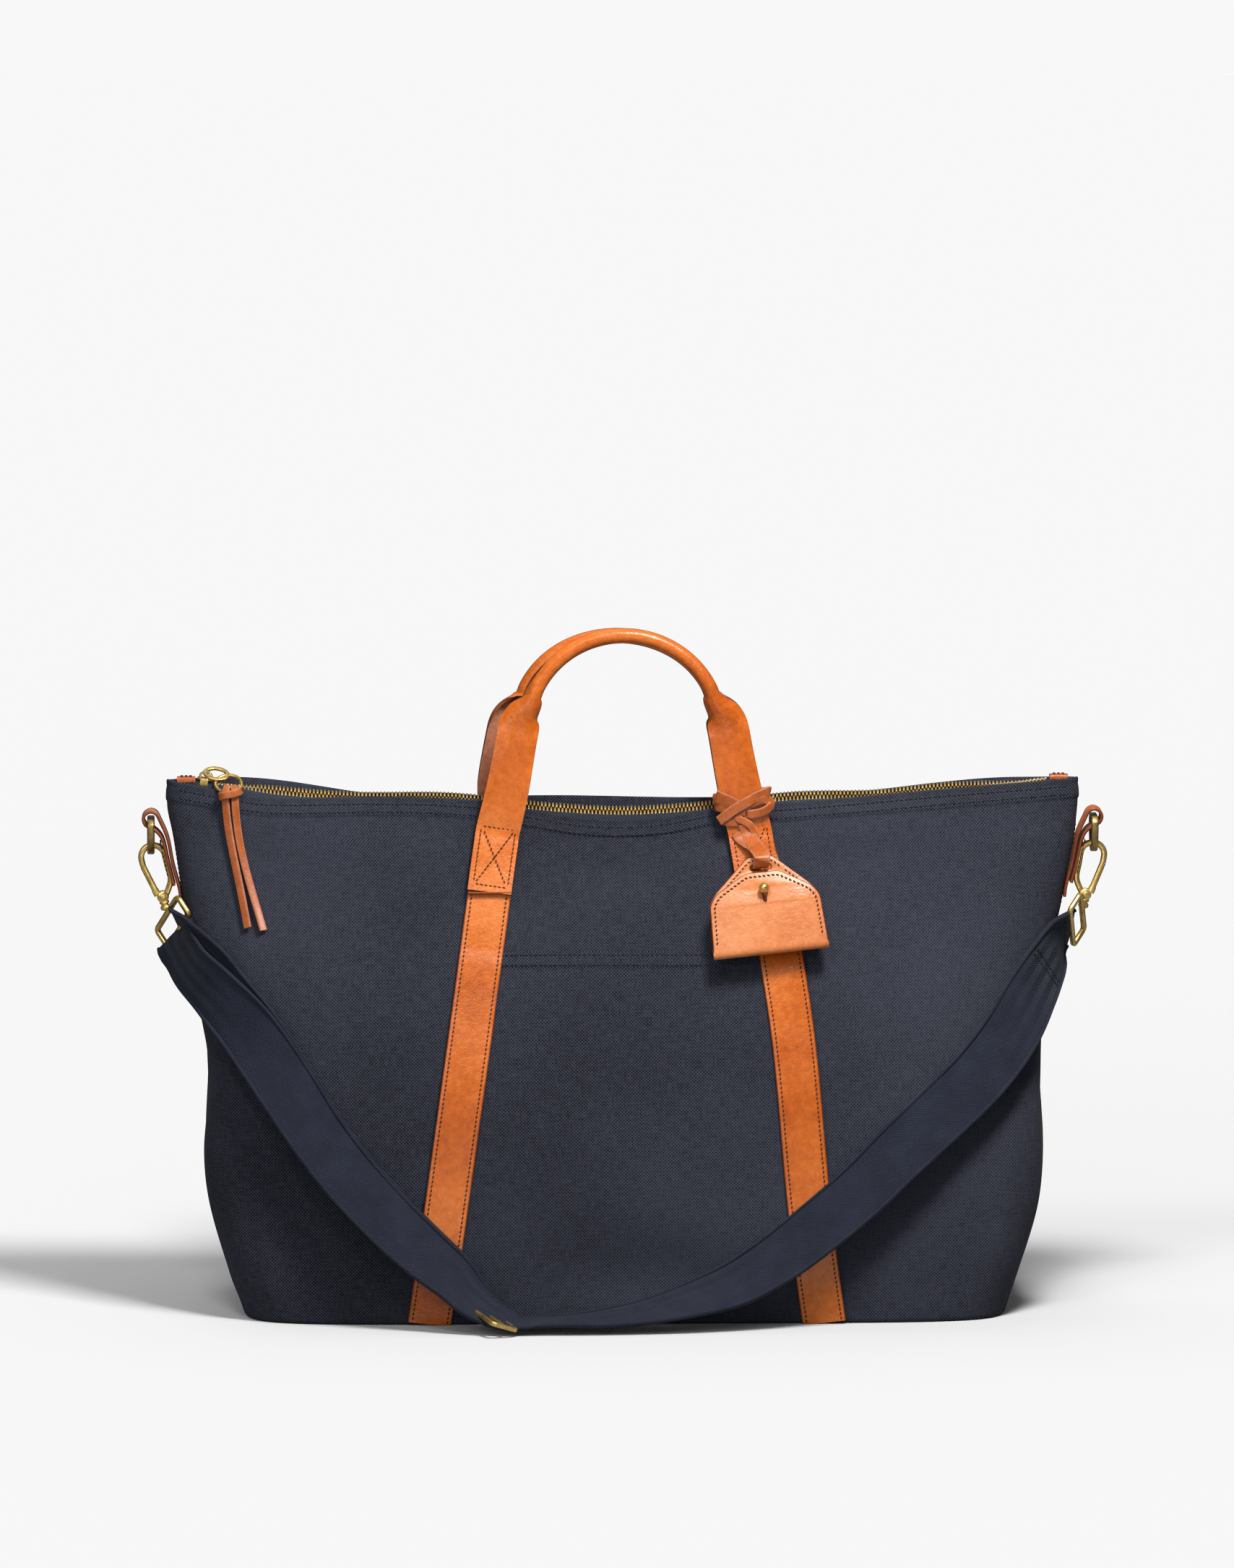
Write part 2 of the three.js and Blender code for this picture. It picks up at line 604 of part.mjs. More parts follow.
function sideHardware({ hand, sign, lean }) {
  // The tab: a doubled leather strip sewn to the side seam, with a loop at its top for the D-ring.
  const line = [[283.7, 268], [287.2, 284], [290.6, 301], [297, 313.5]];
  const tabAcross = vec(0, 1, 0);
  const stem = ribbon(line.map(([x, z]) => ({
    at: vec(sign * (x + 1.6), 0, z), across: tabAcross, out: vec(0.97 * sign, 0, -0.24), width: TAB_WIDTH - 2, thick: 2.4,
  })));
  const loopCentre = vec(sign * (RING_HINGE_X - 0.5), 0, 313.5);
  const loop = cut(
    post(5.6, TAB_WIDTH - 2, "y", loopCentre.x, 0, loopCentre.z, 16),
    post(2.9, TAB_WIDTH + 4, "y", loopCentre.x, 0, loopCentre.z, 16),
  );
  add(`side_tab_${hand}`, join(loop, stem), leather());

  // The D-ring hangs from its straight bar in the loop.
  const bar = loopCentre.z - 0.6;
  const bottom = RING_HINGE_Z - 4.2;
  const outline = [vec(0, -D_HALF, bar), vec(0, -D_HALF, bar - 6)];
  for (let i = 1; i < 10; i += 1) {
    const angle = Math.PI * (i / 10);
    outline.push(vec(0, -D_HALF * Math.cos(angle), bar - 6 - (bar - 6 - bottom) * Math.sin(angle)));
  }
  outline.push(vec(0, D_HALF, bar - 6), vec(0, D_HALF, bar));
  const path = outline.map((p) => p.add(vec(loopCentre.x, 0, 0)));
  add(`dring_${hand}`, wire(path, WIRE, vec(1, 0, 0), true), brass());

  // The hook's swivel turns in the eye of the strap's square ring.
  const place = hookParts(hand, sign, lean);
  const eye = place(new THREE.BufferGeometry().setFromPoints([vec(0, 0, -EYE_DROP)])).attributes.position;
  const top = vec(eye.getX(0), eye.getY(0), eye.getZ(0));
  return top;
}

// The square ring that carries the webbing hangs skewed, its front end high.
const BAR_HALF = WEBBING / 2 + 2.5;
const RING_TALL = 14;
function strapRing({ hand, sign, ringSkew }, crown) {
  const barRun = vec(-sign * ringSkew, -0.76, 0.62).normalize();
  const down = vec(-sign * 0.47, -0.28, -0.84);
  down.addScaledVector(barRun, -down.dot(barRun)).normalize();
  const corner = (end, fall) => crown.clone().addScaledVector(barRun, end * BAR_HALF).addScaledVector(down, fall);
  const normal = barRun.clone().cross(down).normalize();
  const path = [
    [0, 0], [0.85, 0], [1, 2], [1, RING_TALL - 2], [0.92, RING_TALL], [0, RING_TALL],
    [-0.92, RING_TALL], [-1, RING_TALL - 2], [-1, 2], [-0.85, 0],
  ].map(([a, fall]) => corner(a, fall));
  add(`strap_ring_${hand}`, wire(path, WIRE, normal, true), brass());
}

SIDES.forEach((side) => strapRing(side, sideHardware(side)));

// Stations of the webbing's centre line, chosen by hand: [x, y, z, tilt]. Tilt is 0 where the face
// looks squarely to the front and 90 where the width runs front to back.
const STRAP_LEFT = [
  [-285, -14, 237, -60], [-275, -32, 224, -46], [-260, -51, 207, -28], [-240, -67, 184, -8], [-218, -84, 153, 10],
  [-198, -95, 123, 22], [-176, -105, 95, 26], [-153, -112, 70.5, 30], [-132, -117, 51, 36],
  [-112, -121, 34, 46], [-99, -124, 20, 58],
];
const STRAP_RIGHT = [
  [-58, -126, 3, 90], [-38, -126, 2.6, 90], [-14, -126, 3, 88], [12, -125, 8, 76], [40, -123, 17, 62],
  [70, -119, 29.5, 50], [98, -115, 46, 40], [124, -111, 65.5, 34], [150, -106, 87, 30], [173, -100, 109, 26],
  [200, -91, 133, 20], [226, -79, 157, 12], [246, -64, 181, -4], [261, -45, 205, -24], [273, -26, 224, -44],
  [283, -10, 239, -60],
];
function webStations(table, thick, lift = 0) {
  const points = table.map(([x, y, z]) => vec(x, y, z));
  return points.map((point, i) => {
    const run = points[Math.min(i + 1, points.length - 1)].clone().sub(points[Math.max(i - 1, 0)]).normalize();
    const face = THREE.MathUtils.degToRad(table[i][3]);
    const squareUp = vec(-run.z, 0, run.x).normalize();
    const across = squareUp.multiplyScalar(Math.cos(face)).add(vec(0, Math.sin(face), 0));
    across.addScaledVector(run, -across.dot(run)).normalize();
    const out = run.clone().cross(across).normalize();
    return { at: point.clone().addScaledVector(out, lift), across, out, width: WEBBING, thick };
  });
}
add("strap_webbing_right", ribbon(webStations(STRAP_RIGHT, WEBBING_THICK)), webbing());
add("strap_webbing_left", ribbon(webStations(STRAP_LEFT, WEBBING_THICK, 1.8)), webbing());
add("strap_return", ribbon(webStations(STRAP_LEFT, WEBBING_THICK, -1.8)), webbing());

// The adjuster: a flat frame with a middle bar, lying tilted at the foot of the left run.
const frameOutline = new THREE.Shape();
const slotHalf = WEBBING / 2 + 1.5;
frameOutline.moveTo(-slotHalf - 3, -10);
frameOutline.lineTo(slotHalf + 3, -10);
frameOutline.lineTo(slotHalf + 3, 10);
frameOutline.lineTo(-slotHalf - 3, 10);
frameOutline.closePath();
frameOutline.holes.push(slit(2 * slotHalf, 5.6, 0, 4.5), slit(2 * slotHalf, 5.6, 0, -4.5));
const ADJUSTER = { x: -80, y: -127.8, z: 8.6 };
add("strap_adjuster", new THREE.ExtrudeGeometry(frameOutline, { depth: 3, bevelEnabled: false })
  .translate(0, 0, -1.5).rotateZ(-1.1).rotateY(0.35).translate(ADJUSTER.x, ADJUSTER.y, ADJUSTER.z), brass());

export default bag;
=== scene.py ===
# A canvas weekender bag with leather handles, a brass zip and a clip-on webbing strap, dressed on its CAD frame.
import math

import bmesh
import bpy
import numpy as np
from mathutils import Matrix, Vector
from mathutils.geometry import tessellate_polygon


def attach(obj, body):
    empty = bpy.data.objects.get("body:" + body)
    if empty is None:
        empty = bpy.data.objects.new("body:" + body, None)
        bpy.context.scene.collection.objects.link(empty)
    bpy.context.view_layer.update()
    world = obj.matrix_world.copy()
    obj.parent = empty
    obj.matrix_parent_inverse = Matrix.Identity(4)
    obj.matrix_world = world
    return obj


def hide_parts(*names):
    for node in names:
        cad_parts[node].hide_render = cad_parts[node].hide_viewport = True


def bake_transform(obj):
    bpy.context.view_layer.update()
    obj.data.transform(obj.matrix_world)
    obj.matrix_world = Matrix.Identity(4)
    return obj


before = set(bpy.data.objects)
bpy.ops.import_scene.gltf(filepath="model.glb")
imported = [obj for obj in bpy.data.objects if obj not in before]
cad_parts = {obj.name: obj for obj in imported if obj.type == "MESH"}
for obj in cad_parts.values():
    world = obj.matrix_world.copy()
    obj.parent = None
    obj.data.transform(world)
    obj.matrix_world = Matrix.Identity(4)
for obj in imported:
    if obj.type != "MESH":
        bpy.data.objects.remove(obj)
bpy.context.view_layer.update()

MM = 0.001
scene = bpy.context.scene
scene.view_settings.view_transform = "Standard"


def unit(v):
    v = np.asarray(v, float)
    return v / np.maximum(np.linalg.norm(v, axis=-1, keepdims=True), 1e-12)


def vec(*xyz):
    return np.array(xyz, float)


# ---------- camera, light and floor ----------
ELEVATION, AZIMUTH, DISTANCE = 7.0, -1.5, 8.0  # degrees, degrees and metres
SENSOR, VIEW_WIDTH = 36, 1.001  # mm, and metres across the view at the bag
aim = vec(-0.0050, -0.05, 0.341)
e, a = math.radians(ELEVATION), math.radians(AZIMUTH)
toward = vec(math.sin(a) * math.cos(e), -math.cos(a) * math.cos(e), math.sin(e))
camera = bpy.data.objects.new("camera", bpy.data.cameras.new("camera"))
scene.collection.objects.link(camera)
camera.location = Vector(aim + toward * DISTANCE)
camera.rotation_mode = "QUATERNION"
camera.rotation_quaternion = Vector(-toward).to_track_quat("-Z", "Y")
camera.data.sensor_width = SENSOR
camera.data.lens = SENSOR * DISTANCE / VIEW_WIDTH
scene.camera = camera


def lamp(name, kind, energy, place, target, color=(1, 1, 1), **settings):
    data = bpy.data.lights.new(name, kind)
    data.energy, data.color = energy, color
    for key, value in settings.items():
        setattr(data, key, value)
    ob = bpy.data.objects.new(name, data)
    scene.collection.objects.link(ob)
    ob.location = place
    ob.rotation_mode = "QUATERNION"
    ob.rotation_quaternion = (Vector(target) - Vector(place)).to_track_quat("-Z", "Y")
    return ob


lamp("key", "AREA", 18, (0.26, -0.55, 1.22), (0.02, -0.05, 0.28), (1, 0.985, 0.96), size=0.28)
lamp("front", "AREA", 5.5, (-0.85, -1.4, 0.8), (-0.1, -0.05, 0.15), (0.94, 0.97, 1), size=0.7)
lamp("low", "AREA", 2.2, (0.05, -1.5, 0.12), (0.0, -0.1, 0.10), (0.97, 0.98, 1), size=0.5)
lamp("gleam", "AREA", 6, (-0.35, -1.3, 1.55), (-0.05, -0.05, 0.3), (1, 1, 1), size=0.35)
lamp("top", "SUN", 0.45, (-0.4, 0.9, 2.2), (0, 0, 0.2), (1, 1, 1), angle=math.radians(40))
world = bpy.data.worlds.new("studio")
scene.world = world
world.use_nodes = True
sky = world.node_tree
seen, lit = sky.nodes["Background"], sky.nodes.new("ShaderNodeBackground")
seen.inputs["Color"].default_value = (0.935, 0.935, 0.935, 1)
lit.inputs["Color"].default_value = (0.93, 0.96, 1, 1)
lit.inputs["Strength"].default_value = 0.16
pick, ray = sky.nodes.new("ShaderNodeMixShader"), sky.nodes.new("ShaderNodeLightPath")
sky.links.new(ray.outputs["Is Camera Ray"], pick.inputs["Fac"])
sky.links.new(lit.outputs[0], pick.inputs[1])
sky.links.new(seen.outputs[0], pick.inputs[2])
sky.links.new(pick.outputs[0], sky.nodes["World Output"].inputs["Surface"])


# ---------- materials ----------
class Paint:
    """A Principled material and short calls for its nodes."""

    def __init__(self, name, **sockets):
        self.material = bpy.data.materials.new(name)
        self.material.use_nodes = True
        self.tree = self.material.node_tree
        self.shader = self.tree.nodes["Principled BSDF"]
        self.feed(self.shader, sockets)

    def feed(self, node, inputs):
        for key, value in inputs.items():
            socket = node.inputs[key if isinstance(key, int) else key.replace("_", " ")]
            if isinstance(value, bpy.types.NodeSocket):
                self.tree.links.new(value, socket)
            else:
                socket.default_value = value

    def add(self, kind, inputs=(), out=0, **settings):
        node = self.tree.nodes.new("ShaderNode" + kind)
        for key, value in settings.items():
            setattr(node, key, value)
        self.feed(node, dict(inputs))
        return node.outputs[out]

    def math(self, operation, *values):
        return self.add("Math", dict(enumerate(values)), operation=operation)

    def noise(self, scale, detail=2, stretch=(1, 1, 1), source="Object", rough=0.5):
        place = self.add("TexCoord", out=source) if source == "Object" else self.uv()
        place = self.add("Mapping", {"Vector": place, "Scale": stretch})
        return self.add("TexNoise", {"Vector": place, "Scale": scale, "Detail": detail, "Roughness": rough})

    def uv(self):
        return self.add("UVMap", uv_map="cloth")

    def ramp(self, value, *stops):
        node = self.tree.nodes.new("ShaderNodeValToRGB")
        self.tree.links.new(value, node.inputs[0])
        while len(node.color_ramp.elements) < len(stops):
            node.color_ramp.elements.new(0.5)
        for element, (place, color) in zip(node.color_ramp.elements, stops):
            element.position, element.color = place, (*color, 1) if len(color) == 3 else color
        return node.outputs[0]

    def finish(self, color=None, height=None, distance=0.0001, strength=1.0, rough=None):
        if color is not None:
            self.feed(self.shader, {"Base Color": color})
        if height is not None:
            bump = self.add("Bump", {"Height": height, "Distance": distance, "Strength": strength})
            self.feed(self.shader, {"Normal": bump})
        if rough is not None:
            self.feed(self.shader, {"Roughness": rough})
        return self.material


def spread(paint, value, low, high):
    """A noise value stretched to run from low to high."""
    return paint.add("MapRange", {"Value": value, 1: 0.32, 2: 0.68, 3: low, 4: high})


def plain_weave(name, dark, light, pitch=1.05, glint_and_fleck=0.5, rough=0.88):
    """Canvas: crossed threads that pass over and under each other, some of them paler, with the raised crossings
    painted lighter as a painted highlight.
    """
    p = Paint(name, Sheen_Weight=0.03, Sheen_Roughness=0.5, Specular_IOR_Level=0.12)
    place = p.add("SeparateXYZ", {0: p.uv()}).node.outputs
    turns = [p.math("MULTIPLY", place[i], math.pi / (pitch * MM)) for i in (0, 1)]
    waves = [p.math("SINE", t) for t in turns]
    over = p.math("MULTIPLY", *waves)
    warp = p.noise(1, 3, (900, 120, 1), "UV")
    weft = p.noise(1, 3, (120, 900, 1), "UV")
    thread = p.math("ADD", p.math("MULTIPLY", warp, 0.5), p.math("MULTIPLY", weft, 0.5))
    cloud = p.noise(4.2, 4)
    # painted highlight: the over-and-under term lightens the colour where a thread rides on top; the paler threads are
    # the cloth's own tone
    tone = p.math("ADD", p.math("MULTIPLY", over, 0.55), spread(p, thread, 0.12, 0.68))
    tone = p.math("ADD", p.math("MULTIPLY", tone, glint_and_fleck), spread(p, cloud, 0.02, 0.40))
    color = p.ramp(tone, (0.1, dark), (0.9, light))
    height = p.math("ADD", p.math("MULTIPLY", over, 0.5), p.math("MULTIPLY", thread, 0.9))
    return p.finish(color, height, 0.00028, 0.9, spread(p, thread, rough - 0.08, rough + 0.08))


def twill(name, dark, light, pitch=1.5):
    """Webbing: diagonal ribs that turn at the middle and stop at a bound edge."""
    p = Paint(name, Sheen_Weight=0.06, Sheen_Roughness=0.4, Specular_IOR_Level=0.15)
    place = p.add("SeparateXYZ", {0: p.uv()}).node.outputs
    folded = p.math("PINGPONG", place[0], 4.75 * MM)
    slant = p.math("ADD", folded, p.math("MULTIPLY", place[1], 0.9))
    rib = p.math("SINE", p.math("MULTIPLY", slant, 2 * math.pi / (pitch * MM)))
    cross = p.math("SINE", p.math("MULTIPLY", place[1], 2 * math.pi / (0.8 * MM)))
    weave = p.math("ADD", p.math("MULTIPLY", rib, 0.7), p.math("MULTIPLY", cross, 0.3))
    tone = p.math("ADD", p.math("MULTIPLY", weave, 0.26), spread(p, p.noise(60, 3), 0.38, 0.6))
    color = p.ramp(tone, (0.05, dark), (0.95, light))
    return p.finish(color, weave, 0.0003, 0.8, spread(p, p.noise(400, 2), 0.62, 0.82))


def hide(name, deep, mid, pale, rough=(0.34, 0.48), grain=0.6, coat=0.22, bump=0.00022):
    """Vegetable-tanned leather: cloudy colour, pores and fine wrinkles."""
    p = Paint(name, Specular_IOR_Level=0.3, Coat_Weight=coat, Coat_Roughness=0.3)
    cloud = p.noise(11, 5, rough=0.6)
    fine = p.noise(260, 4, rough=0.65)
    tone = p.math("ADD", p.math("MULTIPLY", spread(p, cloud, 0, 1), 0.65),
                  p.math("MULTIPLY", spread(p, fine, 0, 1), 0.35))
    color = p.ramp(tone, (0.0, deep), (0.5, mid), (1.0, pale))
    spots = p.add("TexVoronoi", {"Vector": p.add("TexCoord", out="Object"), "Scale": 1100 * grain})
    height = p.math("ADD", p.math("MULTIPLY", spots, 0.35), p.math("MULTIPLY", fine, 0.9))
    return p.finish(color, height, bump, 0.8, spread(p, p.noise(45, 3), *rough))


def metal(name, dark, light, rough=(0.2, 0.42), base=1.0):
    p = Paint(name, Metallic=base)
    stain = p.math("ADD", p.math("MULTIPLY", p.noise(60, 4), 0.6), p.math("MULTIPLY", p.noise(420, 3), 0.4))
    color = p.ramp(spread(p, stain, 0, 1), (0.0, dark), (1.0, light))
    return p.finish(color, p.noise(900, 2), 0.00003, 0.4, spread(p, p.noise(150, 3), *rough))


def yarn(name, dark, light):
    p = Paint(name, Specular_IOR_Level=0.3)
    color = p.ramp(spread(p, p.noise(900, 2), 0, 1), (0.0, dark), (1.0, light))
    return p.finish(color, p.noise(2500, 2), 0.0001, 0.6, spread(p, p.noise(300, 2), 0.55, 0.8))


# the canvas's 0.85 contrast is painted highlight on the thread crossings together with the threads' own paler flecks
CANVAS = plain_weave("canvas", (0.0014, 0.0018, 0.0036), (0.045, 0.048, 0.068), glint_and_fleck=0.85)
LINING = plain_weave("lining", (0.22, 0.20, 0.16), (0.42, 0.39, 0.33), 0.5)
TAPE = plain_weave("zip_tape", (0.010, 0.013, 0.020), (0.05, 0.06, 0.08), 0.7, 0.4)
WEBBING = twill("webbing", (0.0055, 0.0075, 0.015), (0.027, 0.032, 0.053))
LEATHER = hide("leather", (0.29, 0.048, 0.003), (0.49, 0.104, 0.008), (0.66, 0.178, 0.026), (0.22, 0.36), coat=0.12,
               bump=0.0004)
LEATHER_EDGE = hide("leather_edge", (0.10, 0.020, 0.005), (0.18, 0.042, 0.010), (0.27, 0.075, 0.02), (0.3, 0.45))
LEATHER_TAG = hide("leather_tag", (0.42, 0.105, 0.022), (0.56, 0.180, 0.055), (0.66, 0.27, 0.11), (0.24, 0.38),
                   coat=0.16, bump=0.0003)
LEATHER_LACE = hide("leather_lace", (0.24, 0.048, 0.006), (0.38, 0.085, 0.012), (0.50, 0.135, 0.03), (0.35, 0.5),
                    bump=0.0003)
SUEDE = hide("leather_flesh", (0.25, 0.075, 0.035), (0.40, 0.15, 0.08), (0.55, 0.25, 0.15), (0.8, 0.95), 0.4, 0, 0.0003)
BRASS = metal("brass", (0.46, 0.28, 0.06), (0.92, 0.66, 0.24), (0.2, 0.38), 0.85)
BRASS_DARK = metal("brass_dark", (0.15, 0.10, 0.035), (0.46, 0.32, 0.12), (0.3, 0.45), 0.9)
TEETH = metal("brass_teeth", (0.62, 0.42, 0.15), (0.95, 0.76, 0.38), (0.2, 0.36), 0.7)
STEEL = metal("nickel", (0.40, 0.39, 0.36), (0.62, 0.61, 0.58))
THREAD = yarn("thread_navy", (0.006, 0.007, 0.010), (0.03, 0.034, 0.045))
THREAD_BROWN = yarn("thread_brown", (0.035, 0.010, 0.004), (0.10, 0.035, 0.015))
BOARD = hide("board", (0.02, 0.02, 0.02), (0.03, 0.03, 0.03), (0.05, 0.05, 0.05), (0.6, 0.8))

p = Paint("floor", Roughness=0.9, Specular_IOR_Level=0.1)
FLOOR = p.finish(p.ramp(spread(p, p.noise(30, 3), 0, 1), (0, (0.29, 0.29, 0.29)), (1, (0.31, 0.31, 0.31))))


# ---------- meshes, drawn in millimetres ----------
class Piece:
    """Faces gathered from grids, plates and wires, with their cloth coordinates and finishes."""

    def __init__(self):
        self.points, self.faces, self.cloth, self.finish, self.count = [], [], [], [], 0

    def push(self, points, faces, cloth, finish):
        self.points.append(np.asarray(points, float).reshape(-1, 3))
        self.faces += [[i + self.count for i in f] for f in faces]
        self.cloth += cloth
        self.finish += finish
        self.count += len(self.points[-1])

    def grid(self, points, wrap=False, finish=0, cloth=None):
        """Rows by columns of points. wrap joins the last column to the first."""
        points = np.asarray(points, float)
        rows, cols = points.shape[:2]
        if cloth is None:
            closed = np.concatenate([points, points[:, :1]], 1) if wrap else points
            u = np.concatenate([[0], np.cumsum(np.linalg.norm(np.diff(closed, axis=1), axis=2).mean(0))])
            v = np.concatenate([[0], np.cumsum(np.linalg.norm(np.diff(points, axis=0), axis=2).mean(1))])
            cloth = np.stack(np.broadcast_arrays(u[None] - u[-1] / 2, v[:, None]), -1)
        i, j = np.meshgrid(np.arange(rows - 1), np.arange(cols if wrap else cols - 1), indexing="ij")
        i, j = i.ravel(), j.ravel()
        k = (j + 1) % cols
        faces = np.stack([i * cols + j, i * cols + k, (i + 1) * cols + k, (i + 1) * cols + j], 1)
        corner = np.stack([cloth[i, j], cloth[i, j + 1], cloth[i + 1, j + 1], cloth[i + 1, j]], 1)
        finish = np.broadcast_to(finish, (cols,))[j]
        self.push(points, faces.tolist(), corner.tolist(), finish.tolist())

    def fan(self, ring, finish=0, flip=False):
        """A flat cap over a ring."""
        ring = np.asarray(ring, float)
        order = list(range(len(ring)))[:: -1 if flip else 1]
        flat = (ring - ring.mean(0)) @ np.linalg.svd(ring - ring.mean(0))[2][:2].T
        self.push(ring, [order], [[flat[i].tolist() for i in order]], [finish])

    def sweep(self, centre, across, out, section, finish=0, closed=False, cap_finish=None):
        """Sections of (across, out) pairs carried along stations."""
        section = np.asarray(section, float)
        if section.ndim == 2:
            section = np.broadcast_to(section, (len(centre), *section.shape))
        points = centre[:, None] + section[..., :1] * across[:, None] + section[..., 1:] * out[:, None]
        if closed:
            points = np.concatenate([points, points[:1]])
        self.grid(points, True, finish)
        if not closed:
            tone = cap_finish if cap_finish is not None else int(np.max(finish))
            self.fan(points[0], tone, True)
            self.fan(points[-1], tone)

    def make(self, name, body, finishes, slot=None, replaces=(), smooth=60, weld=True):
        mesh = bpy.data.meshes.new(name)
        mesh.from_pydata((np.concatenate(self.points) * MM).tolist(), [], self.faces)
        cloth = mesh.uv_layers.new(name="cloth")
        flat = [c for face in self.cloth for c in face]
        cloth.data.foreach_set("uv", (np.array(flat, float) * MM).ravel())
        for material in finishes if isinstance(finishes, (list, tuple)) else [finishes]:
            mesh.materials.append(material)
        mesh.polygons.foreach_set("material_index", np.minimum(self.finish, len(mesh.materials) - 1))
        if weld:
            bm = bmesh.new()
            bm.from_mesh(mesh)
            bmesh.ops.remove_doubles(bm, verts=bm.verts, dist=1e-6)
            bmesh.ops.recalc_face_normals(bm, faces=bm.faces)
            bm.to_mesh(mesh)
            bm.free()
        mesh.shade_smooth()
        mesh.set_sharp_from_angle(angle=math.radians(smooth))
        ob = bpy.data.objects.new(name, mesh)
        scene.collection.objects.link(ob)
        if body:
            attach(ob, body)
        if replaces:
            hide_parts(*replaces)
        return ob


def smooth_path(points, count=None, step=None, closed=False):
    """A Catmull-Rom line through points of any size, evenly spaced."""
    p = np.asarray(points, float)
    n = len(p)
    if closed:
        ends = np.concatenate([p[-1:], p, p[:2]])
    else:
        ends = np.concatenate([2 * p[:1] - p[1:2], p, 2 * p[-1:] - p[-2:-1]])
    t = np.linspace(0, 1, 17)[:-1, None]
    parts = []
    for i in range(n if closed else n - 1):
        a, b, c, d = ends[i : i + 4]
        parts.append(0.5 * (2 * b + (c - a) * t + (2 * a - 5 * b + 4 * c - d) * t**2 + (3 * b - a - 3 * c + d) * t**3))
    fine = np.concatenate([*parts, p[:1] if closed else p[-1:]])
    return even(fine, count, step, closed)


def even(line, count=None, step=None, closed=False):
    run = np.concatenate([[0], np.cumsum(np.linalg.norm(np.diff(line[:, :3], axis=0), axis=1))])
    count = count or max(2, int(round(run[-1] / step)) + 1)
    at = np.linspace(0, run[-1], count + 1)[:-1] if closed else np.linspace(0, run[-1], count)
    return np.stack([np.interp(at, run, line[:, k]) for k in range(line.shape[1])], 1)


def tangents(line, closed=False):
    if closed:
        return unit(np.roll(line, -1, 0) - np.roll(line, 1, 0))
    return unit(np.gradient(line, axis=0))


def frames(line, out, closed=False):
    """Across and out directions for stations whose face looks toward out."""
    run = tangents(line[:, :3], closed)
    out = np.broadcast_to(np.asarray(out, float), run.shape)
    across = unit(np.cross(run, out))
    return across, unit(np.cross(across, run))


def flat_section(width, thick, spans=6, corner=0.8):
    """Round-edged strip: finish 0 on its faces and 1 on its edges."""
    w, t = width / 2, thick / 2
    r = min(t, corner)
    turn = np.linspace(0, math.pi / 2, 4)[1:-1]
    face = [(x, t) for x in np.linspace(w - r, r - w, spans + 1)]
    side = [(-w + r - r * math.sin(a), t - r + r * math.cos(a)) for a in turn] + [(-w, t - r)]
    quarter = side + [(x, -y) for x, y in side[::-1]]
    points = face + quarter + [(-x, -y) for x, y in face] + [(-x, -y) for x, y in quarter]
    n, q = len(face), len(quarter)
    finish = [0] * (n - 1) + [1] * (q + 1) + [0] * (n - 1) + [1] * (q + 1)
    return np.array(points), np.array(finish)


def ribbon(piece, line, out, width, thick, finish=(0, 1), spans=6):
    across, out = frames(line, out)
    section, edge = flat_section(width, thick, spans)
    piece.sweep(line[:, :3], across, out, section, np.where(edge, finish[1], finish[0]), cap_finish=finish[1])


def circle(radius, sides=12):
    a = np.linspace(0, 2 * math.pi, sides, endpoint=False)
    return np.stack([radius * np.cos(a), radius * np.sin(a)], 1)


def rounded(width, height, corner, steps=3):
    """A rectangle's outline with round corners."""
    out = []
    for k, (sx, sy) in enumerate([(1, 1), (-1, 1), (-1, -1), (1, -1)]):
        for a in np.linspace(0, math.pi / 2, steps + 1) + k * math.pi / 2:
            out.append((sx * (width / 2 - corner) + corner * math.cos(a),
                        sy * (height / 2 - corner) + corner * math.sin(a)))
    return np.array(out)


def bar(piece, line, normal, section, closed=False):
    """A section carried along a line whose face looks toward normal."""
    across, out = frames(line, normal, closed)
    piece.sweep(line, across, out, section, closed=closed)


def lathe(piece, profile, origin, axis, sides=20):
    """(radius, height) pairs turned about an axis."""
    axis = unit(axis)
    side = unit(np.cross(axis, [0.3, 0.5, 0.8]))
    other = np.cross(axis, side)
    a = np.linspace(0, 2 * math.pi, sides, endpoint=False)
    ring = np.cos(a)[:, None] * side + np.sin(a)[:, None] * other
    profile = np.asarray(profile, float)
    piece.grid(origin + profile[:, :1, None] * ring[None] + profile[:, 1:, None] * axis, True)


def offset(outline, amount):
    """A closed outline moved inward by amount."""
    p = np.asarray(outline, float)
    before, after = unit(p - np.roll(p, 1, 0)), unit(np.roll(p, -1, 0) - p)
    square = lambda d: np.stack([-d[:, 1], d[:, 0]], 1)
    area = np.sum(p[:, 0] * np.roll(p[:, 1], -1) - np.roll(p[:, 0], -1) * p[:, 1])
    bisect = unit(square(before) + square(after)) * (1 if area > 0 else -1)
    lean = np.maximum(np.sum(bisect * square(before) * (1 if area > 0 else -1), 1), 0.5)
    return p + bisect * (amount / lean)[:, None]


